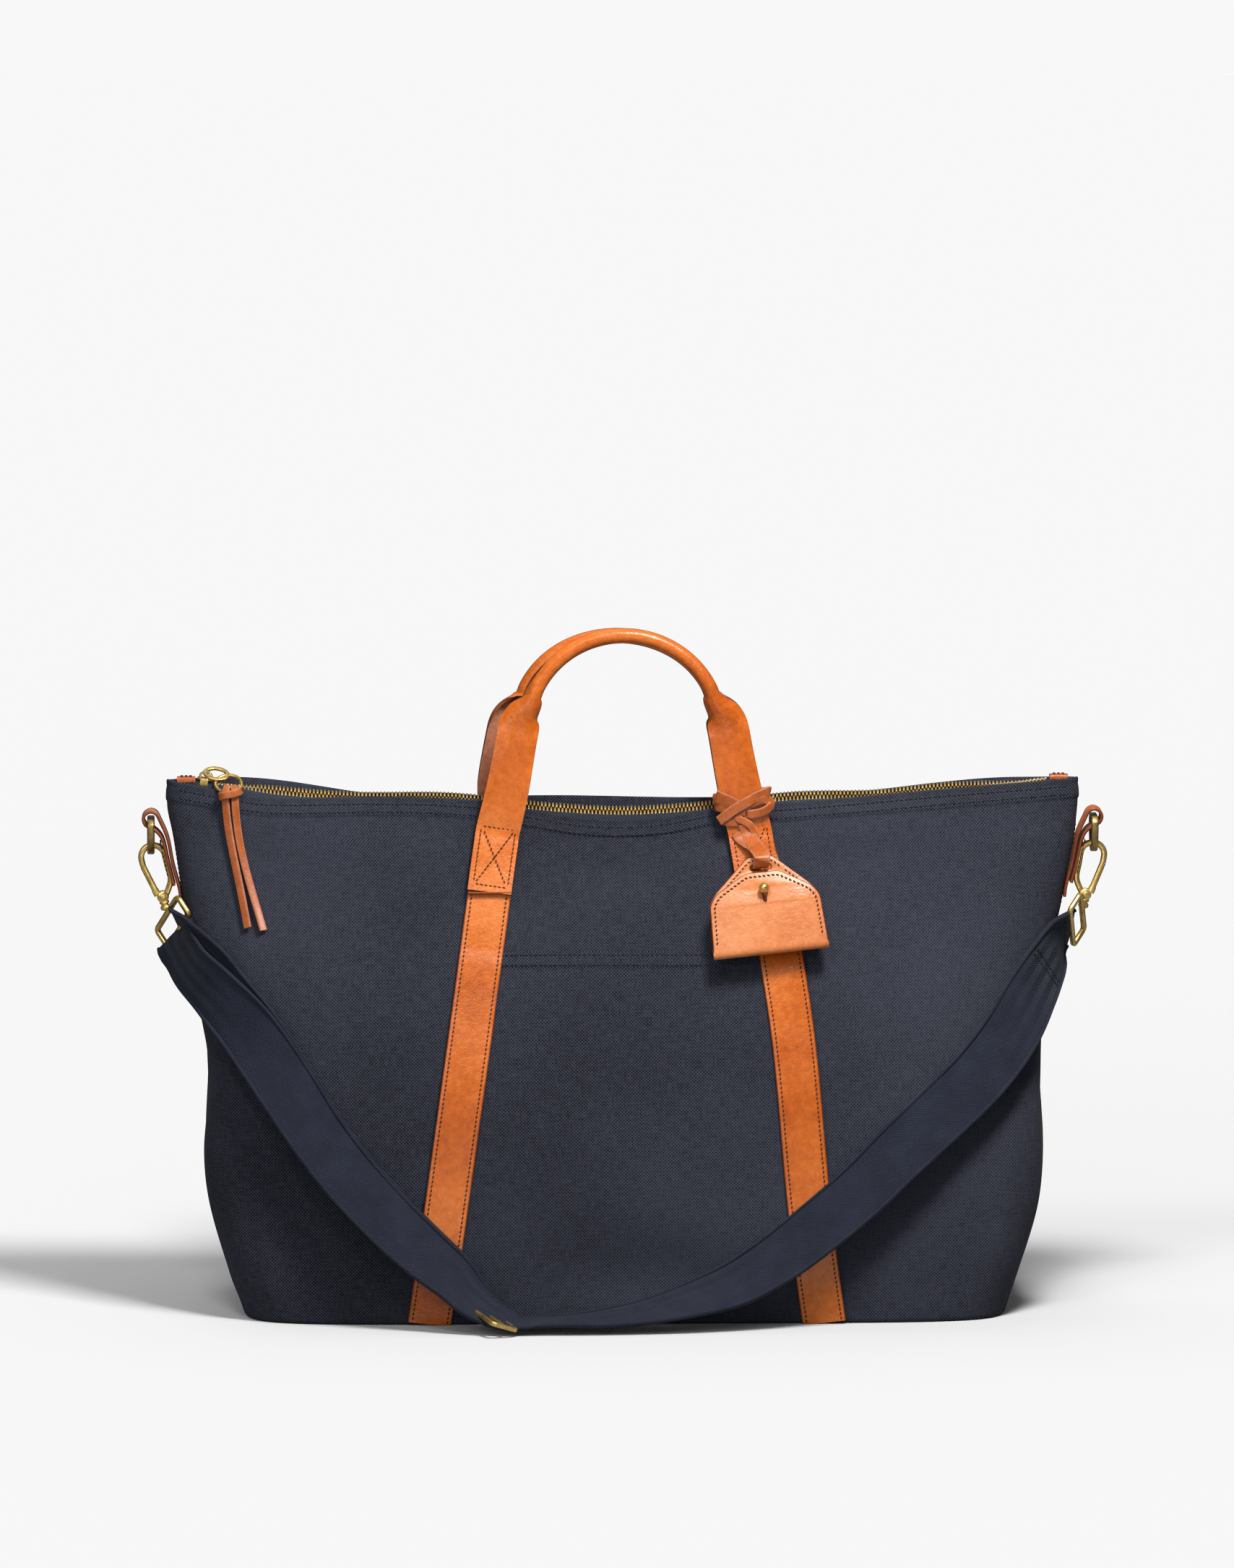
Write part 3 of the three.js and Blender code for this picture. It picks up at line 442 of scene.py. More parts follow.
def plate(piece, outline, thick, place, holes=(), bevel=0.5, finish=(0, 1)):
    """A flat plate between heights 0 and thick, with rounded rims and holes. place maps (x, y, h) to space."""
    levels = [(0.0, bevel), (0.3 * bevel, 0.3 * bevel), (bevel, 0), (thick - bevel, 0),
              (thick - 0.3 * bevel, 0.3 * bevel), (thick, bevel)]
    loops = [np.asarray(outline, float), *[np.asarray(h, float) for h in holes]]
    for k, loop in enumerate(loops):
        rings = [place(np.c_[offset(loop, inset if k == 0 else -inset), np.full(len(loop), h)]) for h, inset in levels]
        piece.grid(np.array(rings), True, finish[1])
    for h in (0, thick):
        rims = [offset(loop, bevel if k == 0 else -bevel) for k, loop in enumerate(loops)]
        flat = np.concatenate(rims)
        triangles = tessellate_polygon([[Vector((*q, 0)) for q in rim] for rim in rims])
        cloth = [[flat[i].tolist() for i in t] for t in triangles]
        piece.push(place(np.c_[flat, np.full(len(flat), h)]), [list(t) for t in triangles], cloth,
                   [finish[0]] * len(triangles))


def stitch(piece, line, out, pitch=3.0, long=2.25, wide=0.85, high=0.42, slant=0.12):
    """A row of thread stitches lying on a surface along a line."""
    line = np.asarray(line, float)
    out = np.broadcast_to(np.asarray(out, float), line.shape)
    both = np.concatenate([line, out], 1)
    run = np.concatenate([[0], np.cumsum(np.linalg.norm(np.diff(line, axis=0), axis=1))])
    count = int((run[-1] - 1.0) // pitch)  # clear of both ends by half a millimetre
    if count < 1:
        return
    start = (run[-1] - count * pitch) / 2 + (pitch - long) / 2
    at = start + np.arange(count)[:, None] * pitch + np.array([0, 0.28, 0.72, 1]) * long
    place = np.stack([np.interp(at, run, both[:, k]) for k in range(6)], -1)
    middle, up = place[..., :3], unit(place[..., 3:])
    along_it = unit(middle[:, 3:] - middle[:, :1])
    side = unit(np.cross(along_it, up))
    drift = np.array([-0.5, -0.2, 0.2, 0.5])[None, :, None] * slant * long
    lift = np.array([-0.35, 0.55, 0.55, -0.35])[None, :, None] * high
    centre = middle + up * lift + side * drift
    fat = np.array([0.55, 1, 1, 0.55])[None, :, None, None]
    ring = np.array([[1, 0], [0, 1], [-1, 0], [0, -1]]) * [wide / 2, high]
    points = centre[:, :, None] + fat * (ring[:, 0, None] * side[:, :, None] + ring[:, 1, None] * up[:, :, None])
    n = len(points)
    base = (np.arange(n) * 16)[:, None, None]
    i, j = np.meshgrid(np.arange(3), np.arange(4), indexing="ij")
    quads = np.stack([i * 4 + j, i * 4 + (j + 1) % 4, (i + 1) * 4 + (j + 1) % 4, (i + 1) * 4 + j], -1).reshape(1, 12, 4)
    faces = (quads + base).reshape(-1, 4).tolist()
    piece.push(points.reshape(-1, 3), faces, [[[0, 0]] * 4] * len(faces), [0] * len(faces))


# ---------- the body's shape, on the same outline as the CAD ----------
HALF_WIDTH = [[0, 244], [45, 257], [100, 267], [170, 268], [215, 277], [268, 283], [318, 292], [337, 292]]
HALF_DEPTH = [[0, 100], [58, 97], [126, 85], [200, 62], [280, 32], [337, 13]]
SQUARENESS = [[0, 7], [120, 5], [220, 3.4], [337, 3]]
FRONT_RIM = [[-292, 337.7], [-236, 327.8], [-213, 326.8], [-153, 327.6], [-93, 325], [-61, 318.8], [-28, 313.4],
             [0, 312], [28, 314], [64, 320.5], [110, 323.5], [156, 327], [202, 331], [292, 337.5]]
RIM, ZIP_LOW, ZIP_RADIUS, ZIP_END = 337.0, 319.0, 2029.0, 274.0


def along(table, place):
    xs, ys = np.array(table, float).T
    slope = np.gradient(ys) / np.gradient(xs)
    place = np.clip(np.asarray(place, float), xs[0], xs[-1])
    i = np.clip(np.searchsorted(xs, place, side="right") - 1, 0, len(xs) - 2)
    span = xs[i + 1] - xs[i]
    t = (place - xs[i]) / span
    bend = (1 - t) ** 2 * t * span * slope[i] - (1 - t) * t**2 * span * slope[i + 1]
    return ys[i] + (ys[i + 1] - ys[i]) * t * t * (3 - 2 * t) + bend


def ease(x, low, high):
    t = np.clip((np.asarray(x, float) - low) / (high - low), 0, 1)
    return t * t * (3 - 2 * t)


def bump(x, middle, reach):
    return np.exp(-(((np.asarray(x, float) - middle) / reach) ** 2))


def zip_height(x):
    """The closed teeth: the CAD's arc, lifted a little where the handles pull the mouth up."""
    x = np.asarray(x, float)
    return (ZIP_LOW + ZIP_RADIUS - np.sqrt(ZIP_RADIUS**2 - x * x)
            + 4.5 * bump(np.abs(x), 112, 48) - 1.6 * bump(x, 0, 40) + 2.6 * bump(x, 200, 30))


def dip(side, x):
    if side < 0:
        return RIM - along(FRONT_RIM, x)
    return 13 * (1 - ease(np.abs(x), 120, 255)) + 0.8 * np.sin(np.asarray(x) / 31)


def settle(side, x, level):
    return level - dip(side, x) * (level / RIM) ** 3


# folds: x and z of both ends, width and height in mm
FOLDS = {-1: [(-263, 16, -268, 140, 8, 2.4), (-243, 6, -252, 80, 6, 1.6), (-225, 4, -231, 44, 6, 1.2),
              (258, 30, 262, 200, 8, 2.6), (243, 14, 247, 130, 8, 1.8), (229, 4, 233, 52, 6, 1.2),
              (-262, 175, -236, 250, 12, 2.2), (262, 190, 240, 262, 12, 2.0), (-60, 40, 60, 34, 22, -2.2),
              (-100, 262, -150, 170, 20, 1.4), (100, 262, 150, 175, 20, 1.2), (-30, 300, 30, 296, 14, -1.4)],
         1: [(-250, 20, -262, 180, 10, 2.4), (252, 20, 264, 190, 10, 2.2), (-40, 60, 70, 50, 26, -2.4),
             (-110, 262, -165, 150, 18, 1.6), (110, 262, 160, 160, 18, 1.6), (-20, 180, 60, 200, 30, -1.5)]}


def relief(side, x, y, z):
    """How far the cloth swells out of the plain outline."""
    x, y, z = np.broadcast_arrays(np.asarray(x, float), y, z)
    swell = 1.9 * np.sin(x / 43 + 0.8 * side + z / 150) * np.sin(z / 38 + 1.1 - x / 190)
    swell = swell + 0.8 * np.sin(x / 21 + z / 61 + 2 * side) * np.sin(z / 27 - x / 71)
    for x0, z0, x1, z1, wide, high in FOLDS[side]:
        dx, dz = x1 - x0, z1 - z0
        t = ((x - x0) * dx + (z - z0) * dz) / (dx * dx + dz * dz)
        far = np.hypot(x - x0 - t * dx, z - z0 - t * dz)
        swell = swell + 1.3 * high * np.exp(-((far / wide) ** 2)) * ease(t, -0.25, 0.3) * (1 - ease(t, 0.7, 1.25))
    swell = swell * ease(z, 2, 26) * (1 - ease(z, 296, 322))
    flank = ease(np.abs(x), 225, 262) * ease(z, 25, 90) * (1 - ease(z, 215, 262))
    return swell + flank * (1.6 * np.sin(y / 9 + z / 70) - 4.5 * bump(y, 0, 17))


def outline(side, level, inset, count):
    """The cloth's plan at a level, evenly spaced from the right seam to the left."""
    half, deep, power = along(HALF_WIDTH, level) - inset, along(HALF_DEPTH, level) - inset, along(SQUARENESS, level)
    dense = 260
    turn = np.linspace(0, math.pi, dense)
    c, s = np.cos(turn), np.abs(np.sin(turn))
    r = (np.abs(c) ** power + s**power) ** (-1 / power)
    ring = np.stack([half * r * c, side * (0.15 + deep * r * s), np.full(dense, float(level))], 1)
    ring = even(ring, count)
    u, v = np.abs(ring[:, 0]) / half, np.abs(ring[:, 1]) / deep
    out = unit(np.stack([np.sign(ring[:, 0]) * u ** (power - 1) / half, side * v ** (power - 1) / deep], 1))
    out = np.c_[out, np.zeros(len(out))]
    ring = ring + out * relief(side, ring[:, 0], ring[:, 1], float(level))[:, None]
    ring[:, 2] = settle(side, ring[:, 0], level)
    return ring, out


def whole_outline(level, inset):
    """The plan of both sides as one ring."""
    return np.concatenate([outline(1, level, inset, 60)[0], outline(-1, level, inset, 60)[0][::-1][1:-1]])


def depth_at(side, x, z):
    x, z = np.broadcast_arrays(np.asarray(x, float), np.asarray(z, float))
    level = z
    for _ in range(5):
        level = z + dip(side, x) * (level / RIM) ** 3
    level = np.clip(level, 0, RIM)
    half, power = along(HALF_WIDTH, level), along(SQUARENESS, level)
    share = np.maximum(1 - np.minimum(np.abs(x) / half, 1) ** power, 0) ** (1 / power)
    plain = 0.15 + along(HALF_DEPTH, level) * share
    tuck = 2.5 - np.sqrt(np.maximum(6.25 - np.maximum(2.5 - level, 0) ** 2, 0))
    return side * (plain - tuck + relief(side, x, side * plain, level))


def face_normal(side, x, z, step=3.0):
    over = (depth_at(side, x + step, z) - depth_at(side, x - step, z)) / (2 * step)
    rise = (depth_at(side, x, np.asarray(z) + step) - depth_at(side, x, np.asarray(z) - step)) / (2 * step)
    return unit(np.stack(np.broadcast_arrays(-over, 1.0, -rise), -1) * side)


def on_face(side, x, z, lift=0.0):
    x, z = np.broadcast_arrays(np.asarray(x, float), np.asarray(z, float))
    return np.stack([x, depth_at(side, x, z), z], -1) + face_normal(side, x, z) * np.asarray(lift, float)[..., None]


# ---------- the shoulder strap: one webbing, doubled on the left ----------
WEB, WEB_THICK = 38.0, 2.0
STRAP_LEFT = [[-286.5, -5, 240, -62], [-285, -14, 233, -60], [-276, -32, 220, -46], [-260, -51, 205, -28],
              [-240, -67, 184, -8], [-218, -84, 153, 10], [-198, -95, 123, 22], [-176, -105, 95, 26],
              [-153, -112, 70.5, 30], [-132, -117, 51, 36], [-112, -121, 34, 46], [-99, -124, 20, 58],
              [-84, -126.5, 10, 72], [-70, -127, 5.6, 86]]
STRAP_BACK = [[-284.5, -4, 241, -68], [-279, -15, 238, -74], [-268, -32, 224, -56], [-256, -50, 207, -30],
              *[[x + 1.2, y + 3.4, z + 0.8, tilt] for x, y, z, tilt in STRAP_LEFT[4:-2]]]
STRAP_RIGHT = [[-70, -127, 5.2, 88], [-58, -126, 6.0, 90], [-38, -126, 6.8, 89], [-14, -125.5, 8.4, 83],
               [12, -124.5, 12, 76],
               [40, -122.5, 19, 65], [70, -119, 29.5, 50], [98, -115, 46, 40], [124, -111, 65.5, 34],
               [150, -106, 87, 30],
               [173, -100, 109, 26], [200, -91, 133, 20], [226, -79, 157, 12], [246, -64, 181, -4],
               [261, -45, 205, -24], [273, -27, 223, -44], [281.5, -13, 235.5, -60], [288, -5.6, 241.5, -66]]


def web_line(table, lift=0.0, step=4.0):
    line = smooth_path(np.array(table, float), step=step)
    run = tangents(line[:, :3])
    face = np.radians(line[:, 3])
    square = unit(np.stack([-run[:, 2], np.zeros(len(run)), run[:, 0]], 1))
    across = square * np.cos(face)[:, None] + np.stack([0 * face, np.sin(face), 0 * face], 1)
    across = unit(across - run * np.sum(across * run, 1)[:, None])
    out = unit(np.cross(run, across))
    return line[:, :3] + out * lift, across, out


def web(name, centre, across, out, wave=0.35, **what):
    piece = Piece()
    section, edge = flat_section(WEB, WEB_THICK, 10, 0.9)
    run = np.concatenate([[0], np.cumsum(np.linalg.norm(np.diff(centre, axis=0), axis=1))])
    bow = wave * np.sin(run / 17)[:, None] * (section[:, 0] / 19)[None] ** 2 - 0.5 * (section[:, 0] / 19)[None] ** 2
    sections = np.stack([np.broadcast_to(section[:, 0], bow.shape), section[:, 1][None] + bow], -1)
    piece.sweep(centre, across, out, sections)
    return piece.make(name, "shoulder_strap", WEBBING, "webbing", **what)


left, right = web_line(STRAP_LEFT, 0.9), web_line(STRAP_RIGHT)
whole = [np.concatenate([a, b[1:]]) for a, b in zip(left, right)]
whole[1], whole[2] = unit(whole[1]), unit(whole[2])
strap = web("shoulder_strap", *whole, replaces=("strap_webbing_left", "strap_webbing_right"))
back = web_line(STRAP_BACK, -1.2)
strap_back = web("shoulder_strap_return", *back, replaces=("strap_return",))
bank = Piece()
for line, cross, out, edges in ((*whole, (-1, 1)), (*back, (-1, 1))):
    for e in edges:
        bound = line + cross * (e * (WEB / 2 - 1.0)) + out * 0.25
        bar(bank, bound, out, circle(1, 8) * [1.25, 1.5])
bound = bank.make("webbing_bound_edges", "shoulder_strap", WEBBING, "webbing")
bank = Piece()
for row in (10, 13.5, 40, 43.5):
    k = np.argmin(np.abs(np.cumsum(np.linalg.norm(np.diff(whole[0][::-1], axis=0), axis=1)) - row))
    base, cross, out = whole[0][::-1][k], whole[1][::-1][k], whole[2][::-1][k]
    ends = [base + cross * e * (WEB / 2 - 3) - out * (WEB_THICK / 2 + 0.1) for e in (-1, 1)]
    stitch(bank, np.linspace(*ends, 12), -out, 2.8)
    stitch(bank, np.linspace(*ends, 12) + 2 * out * (WEB_THICK / 2 + 0.1), out, 2.8)
strap_thread = bank.make("webbing_stitching", "shoulder_strap", THREAD)


# ---------- canvas body ----------
COLUMNS, HEM = 150, 11.0
for side, name in ((-1, "front"), (1, "back")):
    piece = Piece()
    levels = np.concatenate([np.array([0, 0.6, 1.6, 3, 4.6, 6.5, 9]), np.arange(12, 322, 3.4),
                             np.arange(323, 337.1, 1)])
    rows, cloth = [], []
    v, last = 0.0, None
    for level in levels:
        tuck = 2.5 - math.sqrt(max(6.25 - max(2.5 - level, 0) ** 2, 0))
        ring, out = outline(side, level, tuck, COLUMNS)
        hem = 0.8 * ease(level, RIM - HEM - 1.2, RIM - HEM + 0.4) * (1 - 0.4 * bump(level, RIM - 2.5, 1.6))
        pucker = 0.22 * np.sin(ring[:, 0] / 1.05) * bump(level, RIM - HEM + 1, 5) * np.sin(ring[:, 0] / 7.3)
        ring = ring + out * (hem + pucker)[:, None]
        v += 0 if last is None else float(np.median(np.linalg.norm(ring - last, axis=1)))
        u = np.concatenate([[0], np.cumsum(np.linalg.norm(np.diff(ring, axis=0), axis=1))])
        rows.append(ring)
        cloth.append(np.stack([u - u[-1] / 2, np.full(COLUMNS, v)], 1))
        last = ring
    top, out = outline(side, RIM, 0, COLUMNS)
    folds = [(0.8 - 0.5 * (1 - math.cos(t)) * 3.6 / 2, 1.3 * math.sin(t)) for t in np.linspace(0, math.pi, 6)[1:]]
    for inset, lift in [*folds, (-2.8, -4), (-2.8, -12), (-2.8, -22)]:
        ring = top + out * inset + vec(0, 0, lift)
        v += float(np.median(np.linalg.norm(ring - last, axis=1)))
        rows.append(ring)
        cloth.append(np.stack([cloth[-1][:, 0], np.full(COLUMNS, v)], 1))
        last = ring
    piece.grid(rows, cloth=np.array(cloth))
    piece.make(f"canvas_{name}", "bag", CANVAS, "canvas", [f"{name}_panel"], weld=False)

# the base, its stiff board and the lining
piece = Piece()
ring = whole_outline(0, 2.5)
rings = [vec(0, 0, 0.15) * (k < 1) + ring * [k, k, 1] + vec(0, 0, 0.35 * (1 - k))
         for k in (1.0, 0.97, 0.8, 0.5, 0.2, 0.02)]
piece.grid(rings, True, cloth=np.array([np.concatenate([r[:, :2], r[:1, :2]]) for r in rings]))
piece.make("canvas_base", "bag", CANVAS, "canvas", ["base_panel"])
piece = Piece()
ring = whole_outline(6, 9)
for z in (3.0, 5.0):
    piece.grid([ring * [k, k, 0] + vec(0, 0, z) for k in (1.0, 0.5, 0.02)], True)
piece.grid([ring * [1, 1, 0] + vec(0, 0, z) for z in (3.0, 5.0)], True)
piece.make("stiff_board", "bag", BOARD, "board", ["base_board"])
piece = Piece()
for side in (-1, 1):
    rows = [outline(side, level, 5.5 + 1.5 * math.sin(level / 23) ** 2, 90)[0] for level in np.linspace(7, 300, 50)]
    piece.grid(rows)
    floor = rows[0] * [1, 0, 1]
    piece.grid([rows[0], rows[0] * [1, 0.5, 1], floor])
pocket_x = np.linspace(-100, 100, 40)
rows = [np.stack([pocket_x, depth_at(1, pocket_x, z) - 9.2, np.full(40, float(z))], 1)
        for z in np.linspace(130, 250, 16)]
piece.grid(rows)
piece.make("lining_and_pocket", "bag", LINING, "lining", ["lining", "inner_pocket"])

# the slip pocket between the front straps
FOOT_X, PIVOT_X, PIVOT_Z, POCKET_TOP, STRAP_WIDE = 126.0, 80.0, 311.0, 232.0, 28.0


def strap_x(z):
    return FOOT_X + (PIVOT_X - FOOT_X) * np.asarray(z, float) / PIVOT_Z


def sway_x(z):
    """The front right strap bows outward below the tag."""
    return 8.0 * ease(z, 30, 205) * (1 - ease(z, 252, 304))


piece = Piece()
rows, cloth, v = [], [], 0.0
heights = [*np.arange(2, 219, 4), *np.arange(220, POCKET_TOP + 0.1, 1)]
for z in heights:
    reach = float(strap_x(z)) - STRAP_WIDE / 2 + 4
    x = np.linspace(-reach, reach + float(sway_x(z)), 60)
    thick = (0.9 + 0.7 * float(ease(z, POCKET_TOP - 10, POCKET_TOP - 8.6))
             + 1.0 * float(ease(z, 190, POCKET_TOP)) * np.cos(x / reach * 1.5))
    rows.append(on_face(-1, x, z, thick))
    cloth.append(np.stack([x, np.full(60, z * 1.04)], 1))
for lift, drop in ((1.4, 0.25), (0.8, 0.6), (0.2, 0.5), (0.1, -6)):
    rows.append(on_face(-1, x, POCKET_TOP + drop, np.cos(x / reach * 1.5) * lift / 1.5 + 0.1))
    cloth.append(np.stack([x, np.full(60, POCKET_TOP * 1.04 + 2)], 1))
piece.grid(rows, cloth=np.array(cloth))
piece.make("slip_pocket_cloth", "bag", CANVAS, "canvas", ["slip_pocket"], weld=False)

# ---------- stitching on the canvas ----------
bank = Piece()
for side in (-1, 1):
    x = np.linspace(-286, 286, 500)
    for drop, lift in ((3.6, 0.75), (8.6, 0.85)):
        z = settle(side, x, RIM) - drop
        stitch(bank, on_face(side, x, z, lift), face_normal(side, x, z), 3.1, 2.3, 0.9)
    for arc in (4.5, 11.5):
        for end in (0, -1):
            seam = []
            for level in np.linspace(4, 330, 90):
                ring, out = outline(side, level, 0, 140)
                run = np.cumsum(np.linalg.norm(np.diff(ring[:: -1 if end else 1], axis=0), axis=1))
                k = min(int(np.searchsorted(run, arc)), 40)
                k = -1 - k if end else k
                seam.append([*(ring[k] + out[k] * 0.15), *out[k]])
            seam = np.array(seam)
            stitch(bank, seam[:, :3] - 0.15 * seam[:, 3:], seam[:, 3:], 3.1, 2.2, 0.85, 0.2)
x = np.linspace(-88, 86, 120)
for z in (POCKET_TOP - 1.8, POCKET_TOP - 8):
    stitch(bank, on_face(-1, x, z, 1.6 + 1.0 * float(ease(z, 190, POCKET_TOP)) * np.cos(x / 108 * 1.5)),
           face_normal(-1, x, z), 3.1, 2.3, 0.9)
bank.make("canvas_stitching", "bag", THREAD)

# ---------- leather straps ----------
bank, hide_bank = Piece(), Piece()
for side in (-1, 1):
    for hand in (-1, 1):
        z = np.arange(1.4, 306, 3.0)
        x = hand * strap_x(z) + (sway_x(z) if (side, hand) == (-1, 1) else 0)
        out = face_normal(side, x, z)
        lift = 1.6 + (0.8 * ease(z, 4, 30) * (1 - ease(z, 225, 234)) if side < 0 else 0)
        line = on_face(side, x, z, lift)
        ribbon(hide_bank, line, out, STRAP_WIDE, 2.2, spans=10)
        cross = unit(np.cross(tangents(line), out))
        for edge in (-1, 1):
            stitch(bank, line + cross * edge * (STRAP_WIDE / 2 - 2.9) + out * 1.12, out, 2.95, 2.15, 0.95, 0.4, 0.16)
hide_bank.points = [np.maximum(p, (-np.inf, -np.inf, 0.1)) for p in hide_bank.points]  # cut off level with the base
hide_bank.make("leather_straps", "bag", [LEATHER, LEATHER_EDGE], "leather",
               [f"{f}_strap_{h}" for f in ("front", "back") for h in ("left", "right")])

# ---------- handles: a strip that curls round a cord into the rolled grip ----------
GRIP_R, GRIP_Z, GRIP_ANGLE, GRIP_Y, PIVOT_Y = 61.6, 374.4, 1.281, 12.0, 23.6
END_Z = GRIP_Z + GRIP_R * math.cos(GRIP_ANGLE)  # where the rolled grip begins
TOP_Z = GRIP_Z + GRIP_R
ROOT_LOW = 268.0


def curl_section(width, thick, bend, shift):
    """A strip whose edges curl back by bend radians in all, with its middle at shift."""
    radius = width / max(bend, 0.02)
    a = np.linspace(-0.5, 0.5, 19) * max(bend, 0.02)
    outer = np.stack([-(radius + thick / 2) * np.sin(a), (radius + thick / 2) * np.cos(a) - radius], 1)
    inner = np.stack([-(radius - thick / 2) * np.sin(a), (radius - thick / 2) * np.cos(a) - radius], 1)[::-1]
    rim = lambda p, q: np.array([p * 0.75 + q * 0.25, p * 0.25 + q * 0.75])
    section = np.concatenate([outer, rim(outer[-1], inner[0]), inner, rim(inner[-1], outer[0])])
    section[:, 1] += shift
    return section


# the legs' places across, at their heights
LEG_CURVE = ([306, 318, 328, 340, 358, 376, 386, 394], [80.7, 78.2, 76.0, 73.3, 70.2, 67.0, 64.0, 60.4])
# the box and cross sewn on each handle root: two heights, then two places across
BOX_STITCHES = ((272, 272, -11, 11), (307.5, 307.5, -11, 11), (272, 307.5, -11, -11), (272, 307.5, 11, 11),
                (272.8, 306.6, -10, 10), (272.8, 306.6, 10, -10))


def handle(side, body):
    sway = -6.0 if side > 0 else 0.0
    lean = lambda z: side * (PIVOT_Y + (GRIP_Y - PIVOT_Y) * (z - PIVOT_Z) / (TOP_Z - PIVOT_Z))
    leg_x = lambda z: np.interp(z, *LEG_CURVE)
    low = [on_face(side, strap_x(z), z, 4.6) for z in (ROOT_LOW, 278, 288, 298, 306)]
    leg = [vec(leg_x(z), lean(z), z) for z in (318, 335, 355, 374, 384)]
    turn = np.linspace(GRIP_ANGLE, -GRIP_ANGLE, 15)
    arc = [vec(GRIP_R * math.sin(t), lean(GRIP_Z + GRIP_R * math.cos(t)), GRIP_Z + GRIP_R * math.cos(t)) for t in turn]
    half = np.array(low + leg)
    points = np.concatenate([half * [-1, 1, 1], np.array(arc)[::-1], half[::-1]])
    points[:, 0] += sway * ease(points[:, 2], PIVOT_Z, 345) * ease(-points[:, 0], -70, 50)
    points[:, 2] -= (4.0 if side < 0 else 6.5) * np.maximum(points[:, 2] - PIVOT_Z, 0) / (TOP_Z - PIVOT_Z)
    line = smooth_path(points, step=1.25)
    out_plane = vec(0, TOP_Z - PIVOT_Z, -side * (GRIP_Y - PIVOT_Y)) * side
    root = face_normal(side, line[:, 0], np.minimum(line[:, 2], 318))
    share = ease(line[:, 2], 300, 324)[:, None]
    out = unit(root * (1 - share) + unit(out_plane) * share)
    across, out = frames(line, out)
    end_z = END_Z + (0.4 if side < 0 else -1.4)
    curl = np.clip((line[:, 2] - end_z + 24) / 24, 0, 1)
    rolled = ease(line[:, 2], end_z - 24, end_z)
    grip = ease(line[:, 2], end_z - 0.5, end_z + 0.7)
    wide = STRAP_WIDE - 2.4 * ease(line[:, 2], 312, 366) - 1.6 * grip
    thick = 3.0 - 1.2 * rolled
    bend = 0.45 * ease(line[:, 2], 320, 366) + 4.5 * curl**1.45 + 1.17 * grip
    sections = np.array([curl_section(w, t, b, 3.9 * r) for w, t, b, r in zip(wide, thick, bend, rolled)])
    piece = Piece()
    edge = np.array([0] * 18 + [1] * 3 + [2] * 18 + [1] * 3)
    piece.sweep(line, across, out, sections, edge, cap_finish=1)
    inside = np.where(rolled > 0.72)[0]
    piece.sweep(line[inside], across[inside], out[inside], circle(2.9, 10), 2, cap_finish=2)
    ob = piece.make(f"{body}_leather", None, [LEATHER, LEATHER_EDGE, SUEDE], "leather",
                    [body, f"{body}_root_left", f"{body}_root_right"])
    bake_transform(ob)
    for hand in (-1, 1):
        for z0, z1, u0, u1 in BOX_STITCHES:
            z, u = np.linspace(z0, z1, 30), np.linspace(u0, u1, 30)
            x = hand * strap_x(z) + u
            n = face_normal(side, hand * strap_x(z), z)
            base = on_face(side, hand * strap_x(z), z, 4.6)
            cross = unit(np.cross(vec(-hand * 0.146, 0, 1), n))
            stitch(bank, base + cross * u[:, None] + n * 1.52, n, 2.9, 2.1, 0.75, 0.34, 0.16)
        z = np.full(8, ROOT_LOW + 0.2)
        n = face_normal(side, hand * strap_x(z), z)
        lip = on_face(side, hand * strap_x(z) + np.linspace(-13.4, 13.4, 8), z - 0.5, 4.9)
        ribbon(lips, lip, n, 1.4, 3.0, (1, 1), 2)


lips = Piece()
handle(-1, "front_handle")
handle(1, "back_handle")
lips.make("root_folded_edges", "bag", [LEATHER, LEATHER_EDGE])
bank.make("strap_stitching", "bag", THREAD_BROWN)

# ---------- zip ----------
PITCH, BODY_SLOPE = 2.4, math.asin(-268 / 2029)
SLIDER_X = -268.0
SLIDER_Z = ZIP_LOW + ZIP_RADIUS - math.sqrt(ZIP_RADIUS**2 - SLIDER_X**2)


def zip_tilt(x):
    """How far the closed mouth is rolled toward the front, in radians."""
    return 0.68 * ease(x, -252, -222) * (1 - ease(x, 222, 262))


def zip_run(x):
    step = 0.5
    rise = (zip_height(x + step) - zip_height(x - step)) / (2 * step)
    return unit(np.stack([np.ones_like(rise), 0 * rise, rise], -1))


